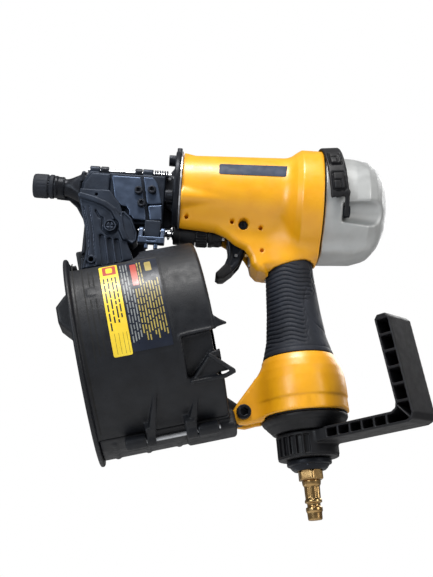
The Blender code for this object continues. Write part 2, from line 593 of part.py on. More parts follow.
def contact_trip():
    collar = tube("X", 8.0, 6.5, COLLAR_X, segments=20)
    lug = box((-252.6, -246.0), (4.0, 14.0), (-3.6, 3.6))
    arm = slab([(-253.2, -4.2), (-253.2, 4.2), (-236.5, 4.2), (-231, 1.5), (-216.6, -28.6),
                (-216.6, -36.5), (-224.6, -36.5), (-230.5, -20.5), (-236.8, -10.2), (-243.2, -4.8)],
               (12.6, 15.4))
    elbow = box((-224.2, -217.2), (9.8, 14.8), (-36.2, -29.8))
    bar = box((-223.4, -172.6), (9.2, 12.2), (-36.5, -29.6))
    cross = box((-177.0, -172.6), (-2.6, 12.2), (-36.4, -29.7))
    foot = cut(join(collar, lug, arm, elbow, bar, cross),
               rod("X", 6.5, (-264, -244), segments=20), rod("X", 1.5, (-180, -170), (0, TRIP_AXIS_Z)))
    finish(foot, "contact_foot", "black steel", parent=TRIP)
    tip = turned("X", [(TIP_X[1], 8.3), (TIP_X[1], 9.4), (-267.8, 9.4), (TIP_X[0], 8.4),
                       (TIP_X[0], 5.4), (-262.4, 5.4), (-262.4, 8.3)], hollow=True, segments=20)
    finish(tip, "no_mar_tip", "rubber", parent=TRIP)
    push_rod = rod("X", TRIP_ROD_RADIUS, (-172.3, TRIP_ROD_REAR_X), (0, TRIP_AXIS_Z), segments=12)
    finish(push_rod, "trip_rod", "steel", parent=TRIP)
    guide = turned("X", [(GUIDE_X[1], 2.6), (GUIDE_X[1], 8.0), (-133.4, 8.0), (-133.4, 4.5),
                         (-143.2, 4.5), (-143.2, 7.5), (GUIDE_X[0], 7.5), (GUIDE_X[0], 5.0),
                         (-146.0, 5.0), (-146.0, 2.6)], at=(0, TRIP_AXIS_Z), hollow=True)
    finish(guide, "trip_guide", "plastic", parent=ROOT)
    wheel = tube("X", 8.3, 4.8, WHEEL_X, at=(0, TRIP_AXIS_Z), segments=30)
    finish(wheel, "depth_wheel", "plastic", parent=WHEEL)
    spring = coil("X", 3.9, 0.5, (-171.8, -146.6), 7, at=(0, TRIP_AXIS_Z))
    finish(spring, "trip_spring", "steel", parent=ROOT)


def feed():
    foot = box((FEED_X - 9, FEED_X + 9), (8.4, 18.0), (-60, -42))
    bore = rod("Z", 7.6, (-59, -32), (FEED_X, FEED_Y), segments=20)
    solid = rod("Z", 10, (-62, -33), (FEED_X, FEED_Y), segments=20)
    finish(cut(join(solid, foot), bore), "feed_cylinder", "aluminium", parent=ROOT)
    piston = turned("Z", [(-16, 0), (-16, 2.6), (-45, 2.6), (-45, 7.3), (-48, 7.3), (-48, 0)],
                    at=(FEED_X, FEED_Y), segments=24)
    arm = box((FEED_X - 5, FEED_X + 5), (12.5, 27), (-18.5, -12.5))
    fork = [box((FEED_X + low, FEED_X + high), (9, 13), (-18.5, -12.5))
            for low, high in ((-5, -2.6), (2.6, 5))]
    slide = join(piston, arm, *fork)
    heel_room = rod("X", 2.7, (FEED_X - 2.5, FEED_X + 2.5), PAWL_AXIS, segments=16)
    finish(cut(slide, heel_room, rod("X", 1.3, (FEED_X - 7, FEED_X + 7), PAWL_AXIS, segments=12)),
           "feed_piston", "steel", parent=FEED)
    pawl = slab([(12.2, -17.3), (12.2, -13.7), (4, -12.8), (-1.2, -12.4), (-0.6, -14.4),
                 (4, -17.3)], (FEED_X - 2.2, FEED_X + 2.2), plane="YZ")
    finish(cut(pawl, rod("X", 1.3, (FEED_X - 7, FEED_X + 7), PAWL_AXIS, segments=12)),
           "feed_pawl", "steel", parent=PAWL)
    pin = rod("X", 1.0, (FEED_X - 5, FEED_X + 5), PAWL_AXIS, segments=12)
    finish(pin, "pawl_pin", "steel", parent=FEED)
    finish(coil("Z", 5.2, 0.5, (-58.4, -48.8), 4, at=(FEED_X, FEED_Y)), "feed_spring", "steel",
           parent=ROOT)


# ---------------------------------------------------------------- trigger

def trigger_group():
    outline = [(-105.5, -25.6), (-111, -24.9), (-115.5, -28), (-119, -35.4), (-117.4, -47.4),
               (-119.8, -56), (-125.6, -63.4), (-124.4, -67), (-120.5, -67.6), (-113.5, -61.5),
               (-108.6, -55.2), (-105.8, -47), (-104.2, -38), (-103.6, -30)]
    trigger = slab(outline, (-7.5, 7.5))
    cut(trigger, box((-130, -100), (-3.3, 3.3), (-38.5, -20)),
        box((-115.2, -100), (-3.3, 3.3), (-60, -38.2)),
        rod("Y", 2.1, (-9, 9), TRIGGER_PIVOT, segments=12),
        rod("Y", 1.6, (-9, 9), TRIGGER_LEVER_PIN, segments=12))
    finish(trigger, "trigger", "black steel", parent=TRIGGER)
    finish(rod("Y", 1.8, (-16.4, 16.4), TRIGGER_PIVOT, segments=12), "trigger_pin", "steel",
           parent=ROOT)
    lever = slab([(-113.6, -52), (-109.4, -52), (-109.2, -40), (-110.6, -31), (-113.8, -31)],
                 (-2.6, 2.6))
    cut(lever, rod("Y", 1.6, (-9, 9), TRIGGER_LEVER_PIN, segments=12))
    finish(lever, "trigger_lever", "steel", parent=LEVER)
    finish(rod("Y", 1.3, (-7.4, 7.4), TRIGGER_LEVER_PIN, segments=12), "lever_pin", "steel",
           parent=TRIGGER)
    valve = turned("X", [(-84, 6), (-84, 9.5), (-102, 9.5), (-102, 2.3), (-98, 2.3), (-98, 6)],
                   at=(0, VALVE_Z), hollow=True, segments=20)
    finish(valve, "trigger_valve_body", "aluminium", parent=ROOT)
    stem = turned("X", [(-90, 0), (-90, 5.6), (-93.5, 5.6), (-93.5, 2.0), (-104.8, 2.0),
                        (-104.8, 0)], at=(0, VALVE_Z), segments=20)
    finish(stem, "trigger_valve_stem", "brass", parent=STEM)


# ---------------------------------------------------------------- handle end

def handle_end():
    gasket = tube("Z", 31.0, 26.8, (-CAP_TOP + 0.3, -BELL_END - 0.3), frame=HANDLE, segments=24)
    finish(gasket, "end_cap_gasket", "seal", parent=ROOT)
    cap = turned("Z", [(-CAP_TOP, 6), (-CAP_TOP, 31.2), (-173, 30.4), (-180.2, 24), (-180.2, 13),
                       (-HUB_END, 13), (-HUB_END, 9.1), (-188, 9.1), (-188, 6)],
                 frame=HANDLE, segments=24, hollow=True)
    finish(cap, "end_cap", "plastic", parent=ROOT)
    hub = tube("Z", 22.0, 13.4, (-8.7, 9.0), frame=HOOK, segments=24)
    arm = slab([(16, 0.2), (HOOK_REACH - 4, 0.2), (HOOK_REACH, 4), (HOOK_REACH - 8.5, HOOK_HEIGHT - 3),
                (HOOK_REACH - 11.5, HOOK_HEIGHT), (HOOK_REACH - 18, HOOK_HEIGHT),
                (HOOK_REACH - 20.5, HOOK_HEIGHT - 3), (HOOK_REACH - 12.5, 15),
                (HOOK_REACH - 17, 9.5), (26, 9.5), (25, 8.6), (16, 8.6)],
               (-HOOK_WIDTH / 2, HOOK_WIDTH / 2), frame=HOOK)
    finish(cut(join(hub, arm), rod("Z", 13.4, (-12, 12), frame=HOOK, segments=24)),
           "rafter_hook", "plastic", parent=HOOK_PIVOT)
    retainer = turned("Z", [(-HUB_END - 0.3, 9.1), (-HUB_END - 0.3, 16), (-203, 16), (-203, 11.2),
                            (-206.8, 11.2), (-206.8, 9.1)], frame=HANDLE, segments=32, hollow=True)
    finish(retainer, "hook_retainer", "black steel", parent=ROOT)
    plug = turned("Z", [(-190, 3.4), (-190, 8.8), (-207.1, 8.8), (-207.1, 9.4), (-213, 9.4),
                        (-213, 6.4), (-228.5, 5.6), (-228.5, 4.6), (-232, 4.6), (-232, 5.9),
                        (-235, 5.9), (-PLUG_END, 5.2), (-PLUG_END, 3.4)],
                  frame=HANDLE, segments=24, hollow=True)
    finish(plug, "air_plug", "brass", parent=ROOT)


# ---------------------------------------------------------------- magazine

def sector(span, x_span, radius=130.0):
    """A wedge of the drum's frame between two angles, from +Y towards +Z."""
    start, stop = span
    steps = max(2, int((stop - start) / 20))
    arc = [(radius * cos(radians(start + (stop - start) * i / steps)),
            radius * sin(radians(start + (stop - start) * i / steps))) for i in range(steps + 1)]
    return slab([(0.0, 0.0)] + arc, x_span, frame=DRUM, plane="YZ")


def drum_block(angle, radii, half_width, x_span):
    """A block that stands on the drum's wall at an angle."""
    turn = Matrix.Rotation(radians(angle), 4, "X")
    return box(x_span, radii, (-half_width, half_width), frame=DRUM, turn=turn)


def on_drum(radius, angle):
    return (radius * cos(radians(angle)), radius * sin(radians(angle)))


def drum_wall(x_span):
    return tube("X", DRUM_OUTER, DRUM_INNER, x_span, frame=DRUM, segments=40)


def finger_pull():
    """The cover's finger pull: a V-shaped beak that stands out from the wall, and a small fin."""
    slant = Matrix.Rotation(radians(207.8), 4, "X") @ Matrix.Translation((0.0923, 0, 0))
    slant = slant @ Matrix.Rotation(radians(-45), 4, "Y")
    upper = box((-8.8, 10.2), (71.9, 75.2), (-1.0, 1.0), frame=DRUM, turn=slant)
    lower = drum_block(214.9, (69.3, 74.8), 1.2, (70.3, 91.2))
    lower_end = drum_block(214.7, (72.2, 75.0), 1.0, (89.6, 100.2))
    floor = drum_block(202.2, (60.2, 62.0), 15.9, (67.1, 89.4))
    side = drum_block(202.0, (60.9, 69.3), 14.6, (67.6, 69.2))
    fin = box((91.8, 99.6), (68.7, 70.6), (-1.0, 1.0), frame=DRUM,
              turn=Matrix.Rotation(radians(188), 4, "X"))
    return [upper, lower, lower_end, floor, side, fin]


def magazine():
    hinge = on_drum(HINGE_RADIUS, HINGE_ANGLE)
    wall = cut(tube("X", DRUM_OUTER, DRUM_INNER - 1.0, (3.4, DRUM_LENGTH), frame=DRUM, segments=40),
               sector((BASE_SPAN[1], 360 + BASE_SPAN[0]), (2, DRUM_LENGTH + 1)))
    rear = rod("X", DRUM_INNER - 0.4, (DRUM_LENGTH - 3.2, DRUM_LENGTH - 0.2), frame=DRUM, segments=40)
    neck = box((8, 26), (18.6, 22.6), (66, 92), frame=DRUM)
    tongue = slab([(DRUM_LENGTH - 2, -66), (104, -64.5), (110.5, -60), (110.5, -55), (104, -51.5),
                   (DRUM_LENGTH - 2, -38)], (10.2 - 5.3, 10.2 + 5.3), frame=DRUM)
    post = rod("X", 5.0, (12, DRUM_LENGTH - 2), frame=DRUM, segments=20)
    webs = [drum_block(HINGE_ANGLE + 4.6, (69.5, HINGE_RADIUS), 4.0, span) for span in BASE_KNUCKLES]
    knuckles = [rod("X", 4.5, span, hinge, frame=DRUM, segments=20) for span in BASE_KNUCKLES]
    base = join(wall, rear, neck, tongue, post, *webs, *knuckles)
    bores = [box((8, 62), (-20, 12), (60, 80), frame=DRUM),
             rod("X", 1.9, (20, 86), hinge, frame=DRUM, segments=12),
             rod("Y", 3.3, (-10, 30), ARM_BOLT, segments=12)]
    bores += [rod("Y", 1.9, (5, 15), spot, segments=12) for spot in NECK_SCREWS]
    finish(cut(base, *bores), "magazine_base", "plastic", parent=ROOT)

    shell = cut(drum_wall((2.0, DRUM_LENGTH)),
                sector((COVER_SPAN[1] - 360, COVER_SPAN[0]), (1, DRUM_LENGTH + 1)),
                sector(*GATE_NOTCH), sector((190.5, 213.5), (69.4, DRUM_LENGTH + 1)))
    disc = rod("X", RIM_RADIUS, (0.0, 3.0), frame=DRUM, segments=40)
    fin = slab([(1, 52), (-11.5, 41), (-11.5, 29), (1, 16)], (-14, 14), frame=DRUM)
    cover_webs = [drum_block(HINGE_ANGLE - 4.9, (69.5, HINGE_RADIUS), 4.0, span)
                  for span in COVER_KNUCKLES]
    cover_knuckles = [rod("X", 4.5, span, hinge, frame=DRUM, segments=20) for span in COVER_KNUCKLES]
    cover = join(shell, disc, fin, *cover_webs, *cover_knuckles, *finger_pull())
    finish(cut(cover, rod("X", 1.9, (20, 86), hinge, frame=DRUM, segments=12)),
           "magazine_cover", "plastic", parent=COVER)
    pin = rod("X", 1.6, (21, 85), hinge, frame=DRUM, segments=12)
    finish(pin, "cover_hinge_pin", "steel", parent=ROOT)
    platform = turned("X", [(58, 5.4), (58, 9), (52, 9), (52, 55), (49.5, 55), (49.5, 9),
                            (40, 9), (40, 5.4)], frame=DRUM, segments=40, hollow=True)
    finish(platform, "nail_platform", "plastic", parent=PLATFORM)
    screw = turned("Y", [(13.4, 0), (13.4, 2.8), (-12.2, 2.8), (-12.2, 5.2), (-17.2, 5.2),
                         (-17.2, 0)], at=ARM_BOLT, segments=20)
    cut(screw, rod("Y", 2.6, (-19, -14.2), ARM_BOLT, segments=6))
    finish(screw, "arm_bolt", "black steel", parent=ROOT)
    nut = cut(rod("Y", 5.8, (12.1, 16.4), ARM_BOLT, segments=6),
              rod("Y", 3.1, (11, 18), ARM_BOLT, segments=20))
    finish(nut, "arm_nut", "black steel", parent=ROOT)
    for number, spot in enumerate(NECK_SCREWS, 1):
        screw = turned("Y", [(15.4, 0), (15.4, 3.2), (12.8, 3.2), (12.8, 1.6), (1.6, 1.6),
                             (1.6, 0)], at=spot, segments=12)
        finish(screw, f"magazine_screw_{number}", "black steel", parent=ROOT)


# ---------------------------------------------------------------- assembly

def drum_to_world(x, y, z):
    tilt = radians(DRUM_TILT)
    return (DRUM_FRONT[0] + x * cos(tilt) - z * sin(tilt), DRUM_FRONT[1] + y,
            DRUM_FRONT[2] + x * sin(tilt) + z * cos(tilt))


ROOT = pivot_empty("tool_frame", (0, 0, 0))
DRIVER = pivot_empty("driver_slide", (0, 0, 0))
HEAD_VALVE = pivot_empty("head_valve_slide", (-50, 0, 0))
GATE = pivot_empty("gate_pivot", (-200, *GATE_AXIS))
LATCH = pivot_empty("gate_latch_pivot", (-175, *LATCH_AXIS))
TRIP = pivot_empty("contact_trip_slide", (-250, 0, 0))
WHEEL = pivot_empty("depth_wheel_pivot", (-138, 0, TRIP_AXIS_Z))
FEED = pivot_empty("feed_slide", (FEED_X, FEED_Y, -30))
PAWL = pivot_empty("feed_pawl_pivot", (FEED_X, *PAWL_AXIS))
TRIGGER = pivot_empty("trigger_pivot", (TRIGGER_PIVOT[0], 0, TRIGGER_PIVOT[1]))
LEVER = pivot_empty("trigger_lever_pivot", (TRIGGER_LEVER_PIN[0], 0, TRIGGER_LEVER_PIN[1]))
STEM = pivot_empty("valve_stem_slide", (-100, 0, VALVE_Z))
HOOK_PIVOT = pivot_empty("rafter_hook_pivot", HOOK[0])
COVER = pivot_empty("cover_pivot", drum_to_world(0, *on_drum(HINGE_RADIUS, HINGE_ANGLE)))
PLATFORM = pivot_empty("platform_slide", drum_to_world(50, 0, 0))

housing()
rubber_grip()
inner_parts()
exhaust_cap()
nose()
gate()
contact_trip()
feed()
trigger_group()
handle_end()
magazine()
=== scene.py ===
"""Looks for the coil siding nailer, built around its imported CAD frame.

Castings and mouldings are written as distance fields in millimetres and meshed on a fine grid,
so that their edges are rounded and their faces run into each other as cast metal does. Each
piece rides on the CAD body of the node that it replaces. Pieces whose CAD shape is already
right keep it, with a bevel and a procedural material.

The tool's frame: the driving axis is X, with the nose towards -X and the exhaust cap's rear face
at X = 0. +Z is up, and the tool's left side faces -Y.
"""
from functools import reduce
from math import atan2, cos, degrees, pi, radians, sin
from random import Random

import bpy
import numpy as np
from mathutils import Matrix, Vector


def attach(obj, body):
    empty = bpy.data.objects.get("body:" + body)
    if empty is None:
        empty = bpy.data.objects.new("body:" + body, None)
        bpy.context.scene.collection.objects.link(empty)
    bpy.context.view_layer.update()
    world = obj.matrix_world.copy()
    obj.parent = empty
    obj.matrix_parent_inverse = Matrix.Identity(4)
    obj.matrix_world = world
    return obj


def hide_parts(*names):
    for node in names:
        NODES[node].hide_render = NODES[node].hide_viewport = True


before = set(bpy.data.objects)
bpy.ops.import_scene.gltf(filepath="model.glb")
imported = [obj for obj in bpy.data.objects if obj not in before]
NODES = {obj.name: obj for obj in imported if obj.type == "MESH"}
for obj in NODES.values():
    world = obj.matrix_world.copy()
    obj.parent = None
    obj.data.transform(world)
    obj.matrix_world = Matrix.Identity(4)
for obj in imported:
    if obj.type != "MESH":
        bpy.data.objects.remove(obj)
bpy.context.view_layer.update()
MM = 0.001

# Frames: (origin, tilt about Y, turn about the frame's own Z), in millimetres and degrees
WORLD = ((0.0, 0.0, 0.0), 0.0, 0.0)
HANDLE = ((-78.8, 0.0, 0.0), -7.8, 0.0)
HOOK = ((-78.8 + 190.0 * sin(radians(7.8)), 0.0, -190.0 * cos(radians(7.8))), -7.8, -45.0)
DRUM = ((-217.4, -10.2, -139.7), -15.0, 0.0)
GRIP_LINE = ((-70.5, 0.0, -54.5), -degrees(atan2(12.0, 35.0)), 0.0)
BAND = ((-40.5, 0.0, -3.5), -6.5, 0.0)


# ---------------------------------------------------------------- distance fields

def grid(low, high, step):
    """Open coordinate arrays for a box, so that a flat shape costs only a flat array."""
    axes = [np.arange(lo, hi + step, step, dtype=np.float32) for lo, hi in zip(low, high)]
    return np.ix_(*axes)


def rotation(tilt, turn):
    return Matrix.Rotation(radians(tilt), 3, "Y") @ Matrix.Rotation(radians(turn), 3, "Z")


def into(target, source, x, y, z):
    """Coordinates in one frame, of points given in another."""
    (origin, tilt, turn), (origin0, tilt0, turn0) = target, source
    back = rotation(tilt, turn).transposed()
    spin = back @ rotation(tilt0, turn0)
    shift = back @ (Vector(origin0) - Vector(origin))
    rows = []
    for row, offset in zip(spin, shift):
        terms = [k * a for k, a in zip(row, (x, y, z)) if abs(k) > 1e-9]
        rows.append(reduce(np.add, terms) + offset)
    return rows


def rad(u, v, at=(0.0, 0.0)):
    return np.hypot(u - at[0], v - at[1])


def span(a, low, high):
    return np.abs(a - (low + high) / 2) - (high - low) / 2


def meet(r, *fields):
    """What lies inside all the fields, with edges rounded to a radius."""
    inside = reduce(np.maximum, fields) + r
    outside = np.sqrt(reduce(np.add, [np.maximum(f + r, 0) ** 2 for f in fields]))
    return np.minimum(inside, 0) + outside - r


def merge(k, *fields):
    """All the fields together, with a fillet of about k where they meet."""
    def pair(a, b):
        if k == 0:
            return np.minimum(a, b)
        reach = np.maximum(k - np.abs(a - b), 0) / k
        return np.minimum(a, b) - reach * reach * k / 4
    return reduce(pair, fields)


def carve(k, body, *cuts):
    return -merge(k, -body, *cuts)


def outline(points, u, v):
    """Signed distance to a closed outline, negative inside."""
    shape = np.broadcast_shapes(np.shape(u), np.shape(v))
    nearest = np.full(shape, 1e9, np.float32)
    sign = np.ones(shape, np.float32)
    for (ax, ay), (bx, by) in zip(points, points[-1:] + points[:-1]):
        ex, ey = bx - ax, by - ay
        wx, wy = u - ax, v - ay
        t = np.clip((wx * ex + wy * ey) / (ex * ex + ey * ey), 0, 1)
        np.minimum(nearest, (wx - ex * t) ** 2 + (wy - ey * t) ** 2, out=nearest)
        low, high, left = v >= ay, v < by, ex * wy > ey * wx
        sign = np.where((low & high & left) | ~(low | high | left), -sign, sign)
    return sign * np.sqrt(nearest)


def path(points, u, v):
    """Distance to an open line through points."""
    nearest = 1e9
    for (ax, ay), (bx, by) in zip(points, points[1:]):
        ex, ey = bx - ax, by - ay
        t = np.clip(((u - ax) * ex + (v - ay) * ey) / (ex * ex + ey * ey), 0, 1)
        nearest = np.minimum(nearest, rad(u - ax - ex * t, v - ay - ey * t))
    return nearest


def rod(a, r, low, high, radius, edge=0.0):
    return meet(edge, r - radius, span(a, low, high))


def block(r, *spans):
    return meet(r, *[span(*s) for s in spans])


def hexagon(u, v, across):
    return np.maximum(np.abs(u), np.maximum(np.abs(u / 2 + v * 0.866), np.abs(u / 2 - v * 0.866))) - across


def turn_of(y, z):
    """Angle about the X axis from +Y towards +Z, from 0 to 360 degrees."""
    return np.degrees(np.arctan2(z, y)) % 360


def pair_of(radius, angles):
    return [(radius * cos(radians(a)), radius * sin(radians(a))) for a in angles]


# ---------------------------------------------------------------- from fields to pieces

CORNERS = [(i, j, k) for i in (0, 1) for j in (0, 1) for k in (0, 1)]
EDGES = [(a, b) for a in range(8) for b in range(a + 1, 8)
         if sum(abs(p - q) for p, q in zip(CORNERS[a], CORNERS[b])) == 1]


def surface_net(field, low, step):
    """Vertices and quads of the surface where the field is zero, one vertex to a grid cell."""
    solid = field < 0
    size = [n - 1 for n in field.shape]
    parts = [field[i:size[0] + i, j:size[1] + j, k:size[2] + k] for i, j, k in CORNERS]
    inside = [part < 0 for part in parts]
    active = reduce(np.logical_or, inside) & ~reduce(np.logical_and, inside)
    number = np.full(active.shape, -1, np.int32)
    cells = np.argwhere(active)
    number[active] = np.arange(len(cells))
    values = np.stack([part[active] for part in parts], 1)
    total, count = np.zeros((len(cells), 3)), np.zeros((len(cells), 1))
    for a, b in EDGES:
        va, vb = values[:, a], values[:, b]
        crossed = (va < 0) != (vb < 0)
        t = np.where(crossed, va / np.where(crossed, va - vb, 1), 0)[:, None]
        start, end = np.array(CORNERS[a], float), np.array(CORNERS[b], float)
        total += np.where(crossed[:, None], start + (end - start) * t, 0)
        count += crossed[:, None]
    verts = np.array(low) + step * (cells + total / count)
    quads = []
    for axis in range(3):
        near, far = [slice(1, -1)] * 3, [slice(1, -1)] * 3
        near[axis], far[axis] = slice(0, -1), slice(1, None)
        first, last = solid[tuple(near)], solid[tuple(far)]
        for way in (True, False):
            spots = np.argwhere((first != last) & (first == way))
            spots[:, [(axis + 1) % 3, (axis + 2) % 3]] += 1
            steps = [(0, 0), (1, 0), (1, 1), (0, 1)]
            ring = []
            for du, dv in (steps if way else steps[::-1]):
                cell = spots.copy()
                cell[:, (axis + 1) % 3] -= 1 - du
                cell[:, (axis + 2) % 3] -= 1 - dv
                ring.append(number[tuple(cell.T)])
            quads.append(np.stack(ring, 1))
    return verts, np.concatenate(quads)


def to_metres(mesh, place):
    origin, tilt, turn = place
    matrix = Matrix.Translation(Vector(origin) * MM) @ rotation(tilt, turn).to_4x4()
    mesh.transform(matrix @ Matrix.Scale(MM, 4))


def show(obj, body, look, replaced=()):
    """Put a piece on its body, with its material, in place of the CAD nodes it stands for."""
    obj.data.materials.clear()
    obj.data.materials.append(material(look))
    if obj.type == "MESH":
        obj.data.shade_smooth()
    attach(obj, body)
    if replaced:
        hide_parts(*replaced)
    return obj


def new_object(name, data):
    obj = bpy.data.objects.new(name, data)
    bpy.context.scene.collection.objects.link(obj)
    return obj


def solid(name, body, look, replaced, low, high, step, field, place=WORLD, keep=0.5):
    """A piece meshed from a field over a box of its frame, then lightened to a share of its faces."""
    verts, quads = surface_net(field(*grid(low, high, step)), low, step)
    mesh = bpy.data.meshes.new(name)
    mesh.from_pydata(verts.tolist(), [], quads.tolist())
    to_metres(mesh, place)
    obj = show(new_object(name, mesh), body, look, replaced)
    if keep < 1:
        lighten = obj.modifiers.new("Lighten", "DECIMATE")
        lighten.ratio = keep
    return obj


def dress(look, *names, bevel=0.25):
    """A CAD node that keeps its shape gets rounded edges and a procedural material."""
    for name in names:
        obj = NODES[name]
        obj.data.materials.clear()
        obj.data.materials.append(material(look))
        if bevel:
            edge = obj.modifiers.new("Edge", "BEVEL")
            edge.width = bevel * MM
            edge.segments = 2
            edge.limit_method = "ANGLE"
            edge.angle_limit = radians(40)
            edge.harden_normals = True


def patch(name, body, look, place, x_span, turn_span, radius, thick, corner=0.0, nodes=()):
    """A thin plate that lies on a round wall; radius gives the wall's radius at a place along x."""
    (x0, x1), (a0, a1) = x_span, turn_span
    rows, columns = max(2, int(abs(a1 - a0) / 1.5)), max(2, int(abs(x1 - x0) / 4))
    middle = radius((x0 + x1) / 2)
    verts, faces = [], []
    for lift in (0.0, thick):
        for i in range(rows + 1):
            share = i / rows
            ease = (1 - cos(pi * share)) / 2
            inset = corner
            edge = min(ease, 1 - ease) * abs(radians(a1 - a0)) * middle
            if corner:
                inset = corner - (corner ** 2 - max(corner - edge, 0) ** 2) ** 0.5
            for j in range(columns + 1):
                x = x0 + inset + (x1 - x0 - 2 * inset) * j / columns
                a = radians(a0 + (a1 - a0) * ease)
                r = radius(x) + 0.03 + lift
                verts.append((x, r * cos(a), r * sin(a)))
    width = columns + 1
    layer = width * (rows + 1)

    def quad(a, b, c, d):
        faces.append((a, b, c, d))

    for i in range(rows):
        for j in range(columns):
            k = i * width + j
            quad(k, k + width, k + width + 1, k + 1)
            quad(layer + k, layer + k + 1, layer + k + width + 1, layer + k + width)
    for j in range(columns):
        quad(j, j + 1, layer + j + 1, layer + j)
        k = rows * width + j
        quad(k + 1, k, layer + k, layer + k + 1)
    for i in range(rows):
        k = i * width
        quad(k + width, k, layer + k, layer + k + width)
        k += columns
        quad(k, k + width, layer + k + width, layer + k)
    mesh = bpy.data.meshes.new(name)
    mesh.from_pydata(verts, [], faces)
    to_metres(mesh, place)
    mesh.validate()
    obj = show(new_object(name, mesh), body, look, nodes)
    mesh.set_sharp_from_angle(angle=radians(40))
    return obj


def screw(name, body, replaced, axis, at, head, radius, shank, drive, place=WORLD, look="black_steel"):
    """A cap screw with a rounded, grooved head and a socket; head is (outer end, seat)."""
    outer, seat = head
    sense = 1 if outer > seat else -1
    depth = abs(outer - seat)

    def field(x, y, z):
        a, u, v = {"X": (x, y, z), "Y": (y, x, z), "Z": (z, x, y)}[axis]
        u, v = u - at[0], v - at[1]
        r = rad(u, v)
        along = (a - seat) * sense
        knurl = 0.12 * np.cos(np.arctan2(v, u) * 26) * (along < depth * 0.7)
        cap = meet(0.5, r - radius - knurl, span(along, 0, depth))
        stem = meet(0.1, r - radius * 0.5, span(along, -abs(shank), 1))
        body_field = np.minimum(cap, stem)
        socket = {"hex": hexagon(u, v, radius * 0.5),
                  "star": r - radius * (0.42 + 0.09 * np.cos(6 * np.arctan2(v, u)))}[drive]
        return carve(0, body_field, meet(0, socket, depth * 0.4 - along))

    reach = radius + 0.8
    spans = {"X": 0, "Y": 1, "Z": 2}
    ends = sorted((outer + sense * 0.8, seat - sense * (abs(shank) + 0.8)))
    low = [at[0] - reach, at[1] - reach]
    high = [at[0] + reach, at[1] + reach]
    low.insert(spans[axis], ends[0])
    high.insert(spans[axis], ends[1])
    return solid(name, body, look, replaced, low, high, radius / 13, field, place, keep=0.6)


def spring(name, body, look, replaced, axis, radius, wire, along, turns, at):
    """A coil spring with ground ends, swept as a round wire."""
    curve = bpy.data.curves.new(name, "CURVE")
    curve.dimensions = "3D"
    curve.bevel_depth = wire * MM
    curve.bevel_resolution = 3
    curve.use_fill_caps = True
    count = turns * 20 + 1
    line = curve.splines.new("POLY")
    line.points.add(count - 1)
    for i, point in enumerate(line.points):
        share = i / (count - 1)
        pitch = min(max((share - 0.08) / 0.84, 0), 1)
        a = 2 * pi * turns * share
        place = [at[0] + radius * cos(a), at[1] + radius * sin(a)]
        place.insert("XYZ".index(axis), along[0] + (along[1] - along[0]) * pitch)
        point.co = (*(Vector(place) * MM), 1.0)
    return show(new_object(name, curve), body, look, replaced)


# ---------------------------------------------------------------- materials

